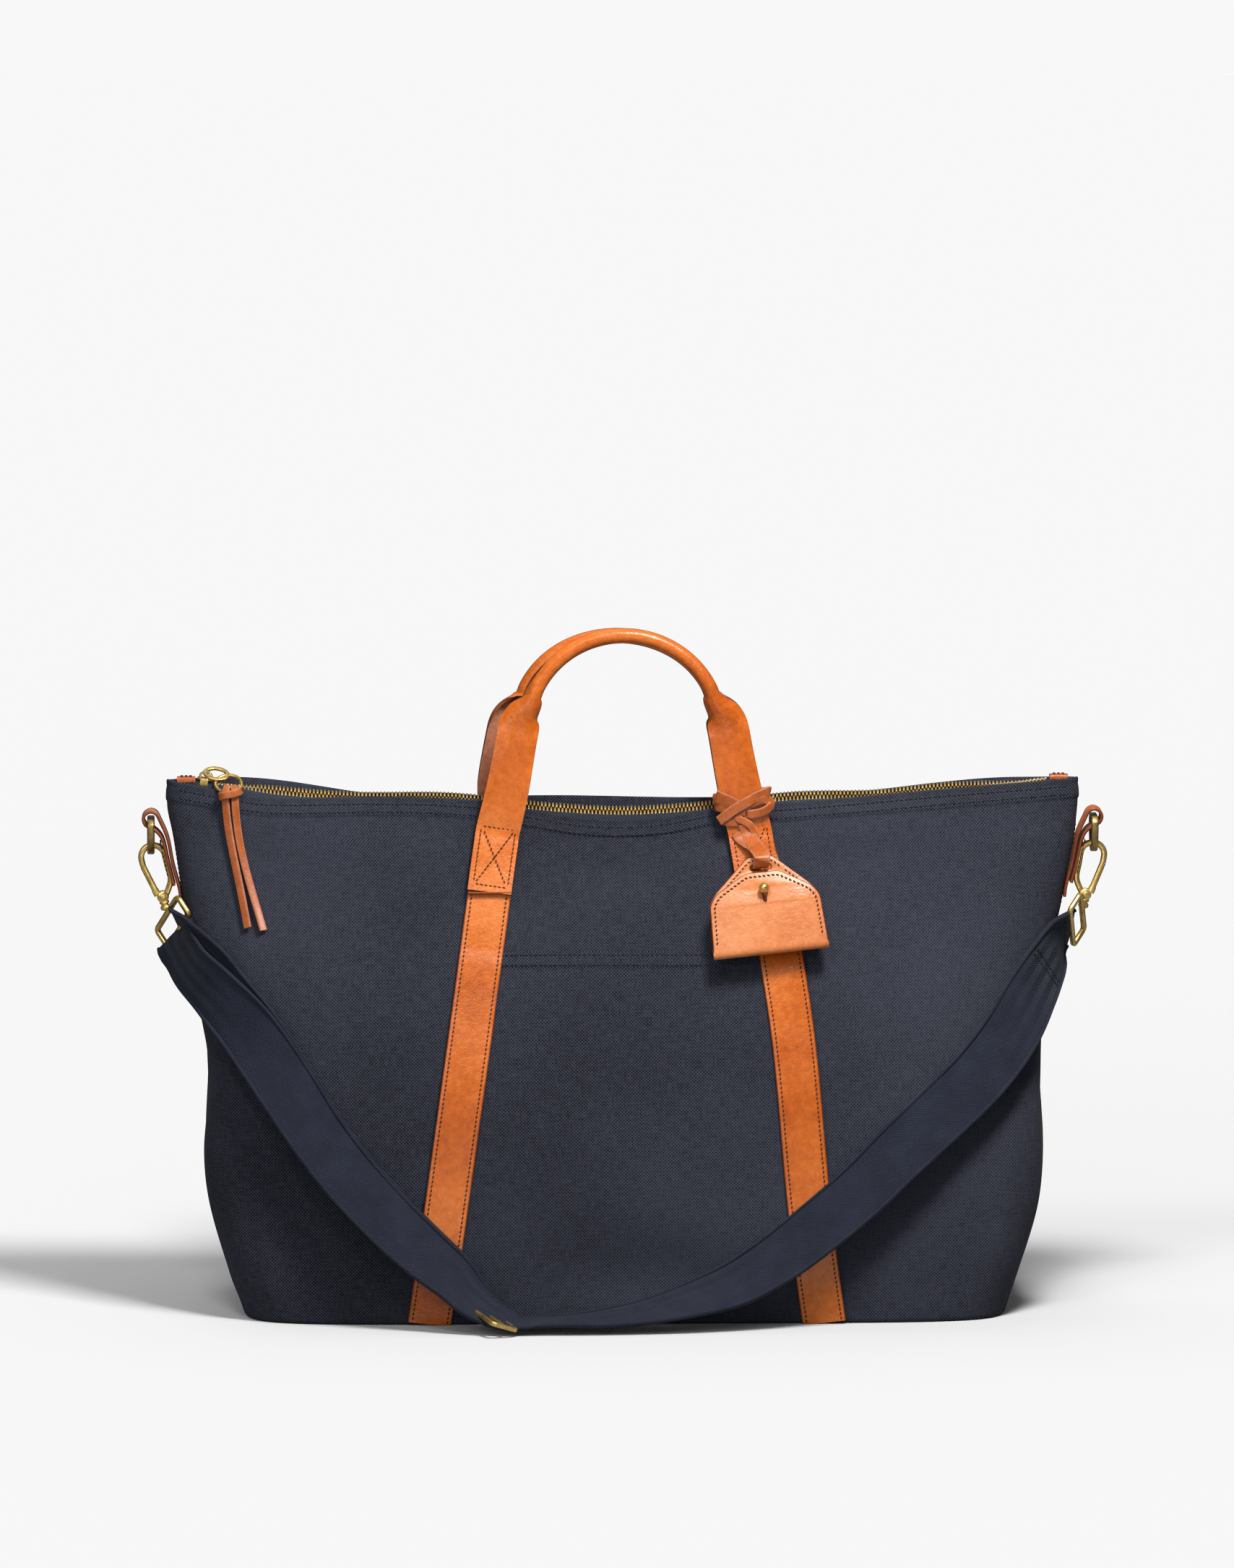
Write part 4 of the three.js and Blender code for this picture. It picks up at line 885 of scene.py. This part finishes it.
bank, tapes = Piece(), Piece()
teeth_profile = [(0.0, 0.45, 0.62), (0.35, 0.62, 0.95), (1.0, 0.68, 1.12), (2.6, 0.6, 1.05), (3.7, 0.52, 0.85),
                 (3.95, 0.3, 0.5)]
section = circle(1, 8) ** 3 * 0.5 + circle(1, 8) * 0.7
for side in (-1, 1):
    x = np.arange(-ZIP_END + 12 + (side + 1) * PITCH / 4, ZIP_END - 1, PITCH)
    mid = np.stack([x, 0 * x, zip_height(x)], 1)
    run = zip_run(x)
    for centre, r in zip(mid, run):
        up = np.cross(r, [0, 1, 0]) * -1
        up = up if up[2] > 0 else -up
        c, s = math.cos(zip_tilt(centre[0])), math.sin(zip_tilt(centre[0]))
        up = up * [1, 1, c] + vec(0, -s, 0)
        stations = np.array([centre + vec(0, side * (0.25 + tooth[0]) * c, side * (0.25 + tooth[0]) * s)
                             for tooth in teeth_profile])
        n = len(stations)
        sections = np.array([section * [a, b] for _, a, b in teeth_profile])
        bank.sweep(stations, np.tile(r, (n, 1)), np.tile(up, (n, 1)), sections)
    x = np.linspace(-284, 284, 190)
    rim = settle(side, x, RIM)
    wall = np.abs(depth_at(side, x, rim - 4)) - 2.6
    c, s = np.cos(zip_tilt(x)), np.sin(zip_tilt(x))
    rows = [np.stack([x, side * 2.9 * c - h * s, zip_height(x) + side * 2.9 * s + h * c], 1) for h in (-0.9, -0.3)]
    for t in np.linspace(0, 1, 7):
        y = 3.2 * c + (np.maximum(wall, 4.2) - 3.2 * c) * t
        near = zip_height(x) + side * 3.2 * s
        z = near + (rim - 5 - near) * t**1.4 + 0.5 * (1 - t)
        rows.append(np.stack([x, side * y, z], 1))
    tapes.grid(rows)
bank.make("zip_teeth", "bag", TEETH, "brass", ["zip_teeth_front", "zip_teeth_back"])
tapes.make("zip_tapes", "bag", TAPE, "zip_tape", ["zip_tape_front", "zip_tape_back"])

bank, tabs = Piece(), Piece()
for sign in (-1, 1):
    x = sign * (ZIP_END + 6.2)
    z = float(zip_height(x)) - 2.6
    tabs.sweep(np.array([vec(x + d, 0, z + 1.2 + 0.15 * k) for d, k in ((-5.8, 0), (0, 1), (5.8, 0))]),
               np.tile(vec(0, 1, 0), (3, 1)), np.tile(vec(0, 0, 1), (3, 1)), rounded(7.2, 6.8, 1.8, 4))
    for dy in (-2.0, 2.0):
        stitch(bank, np.linspace(vec(x - 5, dy, z + 4.7), vec(x + 5, dy, z + 4.7), 6), vec(0, 0, 1), 2.8, 2.0, 0.7)
    stitch(bank, np.linspace(vec(x - sign * 4, -3.7, z - 1), vec(x - sign * 4, -3.7, z + 4), 6), vec(0, -1, 0), 2.6,
           1.9, 0.7)
tabs.make("zip_end_tabs", "bag", [LEATHER_LACE], "leather", ["zip_end_tab_left", "zip_end_tab_right"])
bank.make("zip_end_stitching", "bag", THREAD_BROWN)


def on_zip(p):
    """Points drawn round the slider (x along the teeth, y across, z up) placed on the zip."""
    p = np.asarray(p, float)
    c, s = math.cos(-BODY_SLOPE), math.sin(-BODY_SLOPE)
    return np.stack([SLIDER_X + p[..., 0] * c + p[..., 2] * s, p[..., 1], SLIDER_Z - p[..., 0] * s + p[..., 2] * c], -1)


piece = Piece()
shape = np.array([(-5.2, -2.4), (-3.6, -4.3), (1.5, -4.5), (4.6, -3.4), (5.4, -1.2), (5.4, 1.2), (4.6, 3.4),
                  (1.5, 4.5), (-3.6, 4.3), (-5.2, 2.4)])
for z in (1.5, -2.9):
    plate(piece, shape[::-1], 1.4, lambda q, z=z: on_zip(q + vec(0, 0, z)), bevel=0.45, finish=(0, 0))
for sign in (-1, 1):
    piece.sweep(on_zip([(-3.4, sign * 4.1, 0), (1.6, sign * 4.2, 0)]), np.tile(vec(0, 1, 0), (2, 1)),
                np.tile(vec(0.13, 0, 1), (2, 1)), rounded(0.7, 4.2, 0.3))
arch = smooth_path(on_zip([(-3.7, 0, 2.2), (-3.6, 0, 4.6), (-2.4, 0, 6.0), (0, 0, 6.4), (2.4, 0, 6.0), (3.6, 0, 4.6),
                           (3.7, 0, 2.2)]), step=0.5)
bar(piece, arch, (0, 1, 0), rounded(1.2, 2.8, 0.4))
piece.make("zip_slider_body", "zip_slider", BRASS, "brass", ["zip_slider"])


def tilted(p):
    """The pull leans on the slider's bridge, its back edge raised."""
    p = np.asarray(p, float)
    t = 0.62
    y, z = p[..., 1] * math.cos(t) - p[..., 2] * math.sin(t), p[..., 1] * math.sin(t) + p[..., 2] * math.cos(t)
    return on_zip(np.stack([p[..., 0] + 6.4, y - 0.6, z + 6.4], -1))


piece = Piece()
turn = np.linspace(0, 2 * math.pi, 40, endpoint=False)
oval = smooth_path(np.stack([7.3 * np.cos(turn), 5.1 * np.sin(turn), 0 * turn], 1), count=56, closed=True)
spot, face = tilted(oval), tilted(vec(0, 0, 1)) - tilted(vec(0, 0, 0))
bar(piece, spot, face, rounded(2.3, 1.7, 0.6), True)
piece.make("zip_pull_oval", "zip_pull", BRASS, "brass", ["zip_pull"])
piece = Piece()
piece.sweep(on_zip([(-2.2, 0, 6.9), (2.2, 0, 6.9)]), np.tile(vec(0, 1, 0), (2, 1)), np.tile(vec(0.13, 0, 1), (2, 1)),
            rounded(3.4, 1.1, 0.4))
piece.make("zip_bridge_cap", "zip_slider", STEEL)

# the round ring, and the tassel looped over its front edge
RING_CENTRE = vec(SLIDER_X + 15, -6.3, SLIDER_Z + 4.1 - 4.4)
turn = np.linspace(0, 2 * math.pi, 48, endpoint=False)
c, s = math.cos(0.6), math.sin(0.6)
ring = RING_CENTRE + np.stack([8.4 * np.cos(turn), 8.4 * np.sin(turn) * c, 8.4 * np.sin(turn) * s], 1)
piece = Piece()
bar(piece, ring, (0, -s, c), circle(1.05, 12), True)
piece.make("pull_ring_wire", "zip_pull", BRASS, "brass", ["pull_ring"])

KNOT = vec(RING_CENTRE[0] + 1.0, -16.4, RING_CENTRE[2] - 6.0)
piece = Piece()
for dx, drop, lean, lift in ((-2.4, 83, 13, 1.3), (2.8, 84.5, 17.5, 0.9)):
    t = np.linspace(0, 1, 14)
    z = KNOT[2] + 3 - (drop + 3) * t
    x = KNOT[0] + dx + lean * t**1.5 + 0.8 * np.sin(t * 5 + dx)
    y = np.minimum(KNOT[1] - 1.2 * np.sin(t * 3), depth_at(-1, x, np.minimum(z, 322)) - 2.2 - lift)
    y[:3] = [KNOT[1] + 1.5, KNOT[1] + 0.3, y[2]]
    line = smooth_path(np.stack([x, y, z], 1), step=2)
    ribbon(piece, line, unit(vec(0.35 * np.sign(dx), -1, 0.1)), 5.1, 1.9, spans=3)
for lean, places in ((-0.2, (-2.5, -2.8, -2.4, -1.6, -1.2)), (0.2, (2.9, 3.0, 2.6, 1.8, 1.2))):
    over = np.c_[places, (0.5, -1.2, 0.6, 3.6, 5.6), (-2, 1.6, 4.2, 5.4, 2.6)]
    ribbon(piece, smooth_path(KNOT + over, step=0.8), unit(vec(lean, -0.9, 0.4)), 4.6, 1.6, spans=3)
wrap = smooth_path(KNOT + np.array([(6.4, 2.4, 3.4), (6.6, 0, 2.8), (4.0, -2.3, 1.8), (0, -3.1, 0.9), (-4.2, -2.3, 0),
                                    (-6.6, 0.3, -0.9), (-5.6, 2.6, -1.4)]), step=0.8)
ribbon(piece, wrap, unit(wrap - (KNOT + vec(0, 1.5, 0))), 5.0, 1.7, spans=3)
piece.make("tassel_strips", "tassel", [LEATHER_LACE, SUEDE], "leather", ["tassel"])

# ---------- side tabs, D-rings, hooks and square rings ----------
LEAN = {-1: 0.24, 1: 0.17}
HINGE = vec(303.5, 0, 296)


def hung(sign, p):
    """Points drawn hanging from the hook's top bar, placed at that side's ring."""
    p = np.asarray(p, float)
    c, s = math.cos(sign * LEAN[sign]), math.sin(sign * LEAN[sign])
    return np.stack([sign * HINGE[0] + p[..., 0] * c + p[..., 2] * s, p[..., 1],
                     HINGE[2] - p[..., 0] * s + p[..., 2] * c], -1)


for sign, hand in ((-1, "left"), (1, "right")):
    piece, bank = Piece(), Piece()
    path = [(283.9, 262), (285.1, 270), (288.9, 284), (292.2, 301), (297.2, 313), (299.5, 317.2), (303, 318.6),
            (306.6, 316.8), (307.8, 313.4), (306.0, 309.6), (302.2, 308.0), (297.5, 304), (294.6, 298), (291.6, 284),
            (288.3, 271)]
    line = smooth_path(np.array([(sign * x, 0, z) for x, z in path]), step=1.5)
    ribbon(piece, line, np.cross(tangents(line), [0, 1, 0]) * -sign, 18, 1.7, spans=6)
    piece.make(f"side_tab_{hand}_leather", "bag", [LEATHER if sign > 0 else SUEDE, LEATHER_EDGE], "leather",
               [f"side_tab_{hand}"])
    for dy in (-6.6, 6.6):
        seam = np.array([(sign * (x + 2.6), dy, z) for x, z in ((288.9, 275), (291.6, 288), (294.8, 301))])
        stitch(bank, smooth_path(seam, step=1), vec(sign, 0, -0.2), 2.9, 2.1, 0.75)
    bank.make(f"side_tab_{hand}_stitching", "bag", THREAD_BROWN)

    piece = Piece()
    top, low, half = 312.9, HINGE[2] - 4.2, 13.0
    arc = [(-half * math.cos(a), top - 6 - (top - 6 - low) * math.sin(a)) for a in np.linspace(0, math.pi, 13)]
    loop = [(-half + 2.5, top), (-half, top - 2.5), *arc, (half, top - 2.5), (half - 2.5, top)]
    points = even(np.array([vec(sign * 303, y, z) for y, z in [*loop, loop[0]]]), step=0.9)[:-1]
    bar(piece, points, (1, 0, 0), rounded(2.7, 4.4, 0.9, 3), True)
    piece.make(f"dring_{hand}_bar", f"dring_{hand}", BRASS_DARK, "brass", [f"dring_{hand}"])

    # the hook: a flat-sided bar bent over the ring, a rivet plate and a turning post
    piece = Piece()
    half, long = 7.6, 35.0
    arch = [(-sign * half * math.cos(t), -half + half * math.sin(t)) for t in np.linspace(0, math.pi, 11)]
    spine = [(-sign * 1.6, -long + 1), (-sign * 4.6, -long + 5), (-sign * half, -24), (-sign * half, -15), *arch,
             (sign * half, -11.8)]
    line = smooth_path(hung(sign, [(x, 0, z) for x, z in spine]), step=0.7)
    bar(piece, line, (0, 1, 0), rounded(3.6, 4.0, 1.1, 3))
    down = hung(sign, vec(0, 0, -1)) - hung(sign, vec(0, 0, 0))
    hub = hung(sign, vec(0, 0, -long + 1))
    lathe(piece, [(0, -2.9), (3.0, -2.9), (3.7, -2.4), (3.7, 2.4), (3.0, 2.9), (0, 2.9)], hub, (0, 1, 0), 24)
    lathe(piece, [(0, -3.5), (1.2, -3.5), (1.9, -3.2), (2.1, -2.7), (2.1, 2.7), (1.9, 3.2), (1.2, 3.5), (0, 3.5)],
          hub, (0, 1, 0), 20)
    lathe(piece, [(0, 2.6), (2.5, 2.8), (3.0, 3.4), (3.0, 4.3), (2.3, 4.8), (2.1, 5.4), (2.9, 6.0), (3.3, 7.0),
                  (3.1, 8.2), (2.0, 8.9), (0, 9.0)],
          hub, down, 22)
    piece.make(f"hook_{hand}_body", f"hook_{hand}", BRASS, "brass", [f"hook_{hand}"], smooth=50)
    piece = Piece()
    root, tip = vec(sign * 3.2, 0, -long + 3.2), vec(sign * half, 0, -12.2)
    bar(piece, hung(sign, np.linspace(root, tip, 8)), (0, 1, 0), rounded(3.6, 3.6, 1.0, 3))
    collar = hung(sign, np.linspace(root - (tip - root) * 0.02, root + (tip - root) * 0.16, 3))
    bar(piece, collar, (0, 1, 0), rounded(4.2, 4.7, 1.0, 3))
    piece.make(f"gate_{hand}_bar", f"gate_{hand}", BRASS, "brass", [f"gate_{hand}"], smooth=50)

    # the square ring that carries the webbing
    skew = 0.33 if sign < 0 else 0.1
    run = unit(vec(-sign * skew, -0.76, 0.62))
    fall = vec(-sign * 0.47, -0.28, -0.84)
    fall = unit(fall - run * np.dot(fall, run))
    crown = hung(sign, vec(0, 0, -45.2))
    end, tall = WEB / 2 + 2.5, 14.0
    shape = [(0, 0), (0.88, 0), (0.97, 0.8), (1, 2.4), (1, tall - 2.4), (0.97, tall - 0.8), (0.88, tall), (0, tall)]
    shape += [(-u, v) for u, v in shape[-2::-1]][:-1]
    points = np.array([crown + run * u * end + fall * v for u, v in shape])
    points = even(np.concatenate([points, points[:1]]), step=0.8)[:-1]
    piece = Piece()
    bar(piece, points, np.cross(run, fall), rounded(3.3, 3.3, 1.2, 3), True)
    piece.make(f"square_ring_{hand}", "shoulder_strap", BRASS, "brass", [f"strap_ring_{hand}"])

# the adjuster: a rounded frame with a middle bar, tilted at the foot of the left run
def adjust(p):
    p = np.asarray(p, float)
    for axis, t in ((2, -1.1), (1, 0.35)):
        c, s = math.cos(t), math.sin(t)
        x, y, z = p[..., 0], p[..., 1], p[..., 2]
        p = np.stack([x * c - y * s, x * s + y * c, z] if axis == 2 else [x * c + z * s, y, -x * s + z * c], -1)
    return p + vec(-88.0, -131.0, 10.4)


piece = Piece()
frame_line = even(np.array([(*q, 0) for q in [*rounded(45, 18, 3, 4), rounded(45, 18, 3, 4)[0]]]), step=0.9)[:-1]
spot = adjust(frame_line)
face = adjust(vec(0, 0, 1)) - adjust(vec(0, 0, 0))
bar(piece, spot, face, rounded(3.0, 3.0, 0.8, 3), True)
bar(piece, adjust(np.linspace((-21.5, 0, 0), (21.5, 0, 0), 6)), face, rounded(2.6, 2.6, 0.9, 3))
piece.make("strap_adjuster_frame", "shoulder_strap", BRASS, "brass", ["strap_adjuster"])

# ---------- luggage tag ----------
TAG_CENTRE = vec(91, -58, 253)
TAG_TWIST, TAG_LEAN = -0.11, -0.36  # radians


def on_tag(p):
    """Points drawn on the upright tag (x, y up, h toward the front) placed where it hangs."""
    p = np.asarray(p, float)
    x, y, z = p[..., 0], -p[..., 2], p[..., 1]
    c, s = math.cos(TAG_TWIST), math.sin(TAG_TWIST)
    x, z = x * c + z * s, -x * s + z * c
    c, s = math.cos(TAG_LEAN), math.sin(TAG_LEAN)
    return np.stack([x, y * c - z * s, y * s + z * c], -1) + TAG_CENTRE


TAG_FACE = on_tag(vec(0, 0, 1)) - on_tag(vec(0, 0, 0))


def tag_outline(peak, low, flat, shoulder, half_low=37.0, half_high=35.5):
    corner = [(-half_low, low), (half_low, low), (half_high, shoulder - 5), (half_high - 4.5, shoulder + 1.5),
              (flat, peak), (-flat, peak),
              (-half_high + 4.5, shoulder + 1.5), (-half_high, shoulder - 5)]
    out = []
    for k, here in enumerate(corner):
        before, after = np.array(corner[k - 1]), np.array(corner[(k + 1) % len(corner)])
        here = np.array(here)
        reach = 0.6 if k < 2 else 3.2
        p, q = here + unit(before - here) * reach, here + unit(after - here) * reach
        out += [(1 - t) ** 2 * p + 2 * t * (1 - t) * here + t * t * q for t in np.linspace(0, 1, 5)]
    return np.array(out)


def swollen(p):
    """The cover bulges a little over its fold."""
    p = np.asarray(p, float).copy()
    p[..., 2] += 0.9 * (1 - ease(p[..., 1], -21, 4)) + 0.5 * bump(p[..., 0], 6, 22) * bump(p[..., 1], 0, 15)
    return on_tag(p)


STUD_Y = 21.0
bank = Piece()
piece = Piece()
shape = tag_outline(43.5, -16, 8, 20.5)
slot_hole = rounded(13.4, 3.2, 1.5, 4) + [0, 36.2]
plate(piece, shape, 2.0, lambda q: on_tag(q - vec(0, 0, 2.6)), [slot_hole[::-1]], 0.6)
piece.make("tag_back_leather", "tag", [LEATHER_TAG, LEATHER_EDGE], "leather", ["tag_back"])
rim = offset(shape, 2.8)
rim = even(np.concatenate([rim, rim[:1]]), step=1.0)
rim = rim[rim[:, 1] > 16]
peak = np.c_[rim, np.full(len(rim), -0.55)]
start = int(np.argmax(np.linalg.norm(np.diff(peak, axis=0), axis=1)))
for part in (peak[: start + 1], peak[start + 1 :]):
    if len(part) > 4:
        stitch(bank, on_tag(part), TAG_FACE, 2.9, 2.1, 0.8, 0.36, 0.3)
bank.make("tag_back_stitching", "tag", THREAD_BROWN)

piece, bank = Piece(), Piece()
shape = tag_outline(32.5, -18, 11, 19)
half_turn = np.linspace(-0.6, math.pi + 0.6, 14)
keyhole = [(2.0 * math.cos(t), STUD_Y + 2.0 * math.sin(t)) for t in half_turn]
keyhole += [(-0.8, STUD_Y - 3), (-0.75, STUD_Y - 7.6), (0, STUD_Y - 8.6), (0.75, STUD_Y - 7.6), (0.8, STUD_Y - 3)]
plate(piece, shape, 2.0, lambda q: swollen(q + vec(0, 0, 0.5)), [np.array(keyhole)[::-1]], 0.6)
# the fold at the bottom runs round to the back, where it joins the back plate
x = np.linspace(-37, 37, 30)
turn = np.linspace(-0.1, math.pi, 14)
outer = [(0.35 + 3.1 * math.cos(t), -17.6 - 3.6 * math.sin(t)) for t in turn] + [(-2.75, -14.2)]
inner = [(-1.1, -14.2)] + [(0.35 + 1.3 * math.cos(t), -17.6 - 1.8 * math.sin(t)) for t in turn[::-1]]
ring = np.array(outer + inner)
rows = np.stack([on_tag(np.stack([np.full(len(ring), across), ring[:, 1], ring[:, 0]], 1)) for across in x])
piece.grid(rows, True)
count = len(outer)
for e in (0, -1):
    piece.grid(np.stack([rows[e][:count], rows[e][count:][::-1]]), finish=1)
cover = piece.make("tag_cover_leather", None, [LEATHER_TAG, LEATHER_EDGE], "leather", ["tag_cover"], smooth=45)
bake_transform(cover)
rim = offset(shape, 2.9)
rim = even(np.concatenate([rim[3:], rim[:3]]), step=1.0)
rim = np.c_[rim[rim[:, 1] > -14.4], np.zeros(np.sum(rim[:, 1] > -14.4))]
order = np.argmax(np.linalg.norm(np.diff(rim, axis=0), axis=1)) + 1
rim = np.roll(rim, -order, 0) if np.linalg.norm(rim[0] - rim[-1]) < 5 else rim
stitch(bank, swollen(rim + vec(0, 0, 2.52)), TAG_FACE, 2.9, 2.1, 1.1, 0.45, 0.3)
bank.make("tag_cover_stitching", "tag_cover", THREAD_BROWN)

piece = Piece()
ball = [(3.4 * math.cos(t), 6.0 + 3.4 * math.sin(t)) for t in np.linspace(-1.1, 1.57, 12)]
lathe(piece, [(0, -3.8), (3.0, -3.8), (3.4, -3.4), (3.2, -2.9), (1.25, -2.8), (1.25, 3.4), *ball],
      on_tag(vec(0, STUD_Y, 0)), TAG_FACE, 28)
piece.make("tag_stud_ball", "tag", BRASS, "brass", ["tag_stud"])

# ---------- the lace tied round the right leg, and its strip through the tag's slot ----------
LACE = vec(76.5, -24.6, 322.5)  # on the front of the leg


def knot(points, width, thick):
    """A strip through (x, z, lift off the leg's front) places round the lace's middle."""
    p = np.array(points, float)
    line = smooth_path(LACE + np.stack([p[:, 0], -p[:, 2] - 0.09 * p[:, 1], p[:, 1]], 1), step=1.0)
    centre = vec(LACE[0], LACE[1] + 7, 0)
    out = line * [0.35, 1, 0] - centre * [0.35, 1, 0]
    ribbon(piece, line, unit(out + vec(0, 0, 0.12)), width, thick, spans=4)


piece = Piece()
# two turns behind the leg and over its edges, then the crossing bands in front
knot([(15.6, 9.5, -3.6), (16.8, 10, -1.6), (15.6, 10.2, 0.9), (9, 7.4, 1.6), (1.5, 3.2, 2.6), (-5, -0.6, 3.0),
      (-10, -4.2, 2.8), (-15.4, -8.6, 1.8)], 6.6, 1.6)
knot([(-15.6, 8.4, -3.4), (-17.2, 7.6, -1.4), (-15.2, 6.4, 0.9), (-9, 3.6, 1.2), (-3, 0.4, 1.4), (2, -1.6, 1.2)], 8.4,
     1.5)
knot([(1.0, 0.6, 1.2), (7, 3.6, 1.2), (13.5, 5.4, 1.5), (17.4, 4.0, 0.6), (17.6, 1.2, 1.6), (13.6, -2.0, 2.8),
      (8, -3.8, 2.4), (3, -4.4, 1.4)], 5.8, 1.5)
knot([(15.6, 9.5, -3.6), (0, 8.8, -4.4), (-15.6, 8.4, -3.4)], 6.4, 1.4)
knot([(16.6, -1.5, -3.0), (0, -1.0, -4.4), (-16.4, 0.5, -3.4), (-17.0, 0.8, -1.2), (-14.6, 0.2, 0.6),
      (-8, -1.6, 1.0)], 6.4, 1.4)
knot([(17.2, 1.0, 0.4), (17.4, -0.5, -1.6), (16.6, -1.5, -3.0)], 5.8, 1.4)
knot([(-1.5, -4.6, 1.8), (-3.4, -6.8, 2.6), (0.2, -8.6, 3.4), (4.2, -11.0, 3.8), (7.0, -15.2, 3.8),
      (8.6, -21.5, 5.6)], 4.8, 1.5)
knot([(-14.0, -7.4, 1.3), (-9, -8.6, 2.2), (-2.5, -8.8, 1.6)], 7.2, 1.5)
piece.make("lace_knot", "front_handle", [LEATHER_LACE, SUEDE], "leather", ["tag_tie"])
piece = Piece()
slot_in = on_tag(vec(0, 36.2, 0.3))
points = np.array([LACE + vec(-3.0, -1.2, -15.5), LACE + vec(-0.6, -2.6, -19.0), LACE + vec(3.4, -5.6, -21.6),
                   LACE + vec(6.8, -9.2, -23.4),
                   slot_in + vec(0.6, -5.4, 7.6), slot_in + vec(0.2, -5.0, 3.2), slot_in + vec(0, -2.2, 0.3),
                   slot_in + vec(0, 2.4, -0.6)])
line = smooth_path(points, step=1.0)
k = np.linspace(0, 1, len(line))[:, None]
face = (vec(-0.3, -1, 0.9) * (1 - ease(k, 0.25, 0.5))
        + vec(0.1, -1, 0.35) * ease(k, 0.25, 0.5)
        + vec(0, 0, -1.6) * ease(k, 0.84, 1.0))
ribbon(piece, line, unit(face), 10.4, 1.7, spans=5)
line = smooth_path(np.array([slot_in + vec(0, 2.2, 2.0), slot_in + vec(-0.6, 4.0, 7.0), LACE + vec(4, -3.2, -18),
                             LACE + vec(1, -1.6, -10)]), step=2)
ribbon(piece, line, vec(0, -1, 0.3), 9.0, 1.4, spans=4)
piece.make("lace_strip", "tag", [LEATHER_LACE, SUEDE], "leather", ["tag_loop"])

# ---------- floor, kept CAD nodes and the end ----------
piece = Piece()
piece.grid([[vec(x, y, -0.05) for x in np.linspace(-9000, 9000, 7)] for y in np.linspace(-9000, 12000, 8)])
floor = piece.make("floor", None, FLOOR)
floor.is_shadow_catcher = True

KEPT = {"zip_teeth": TEETH, "zip_tape": TAPE, "zip": BRASS, "side_tab": LEATHER, "tag_stud": BRASS, "tag": LEATHER_TAG,
        "tassel": LEATHER_LACE, "dring": BRASS_DARK}
for name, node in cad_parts.items():
    if not node.hide_render:
        finish = next((KEPT[key] for key in KEPT if name.startswith(key)), BRASS)
        node.data.materials.clear()
        node.data.materials.append(finish)
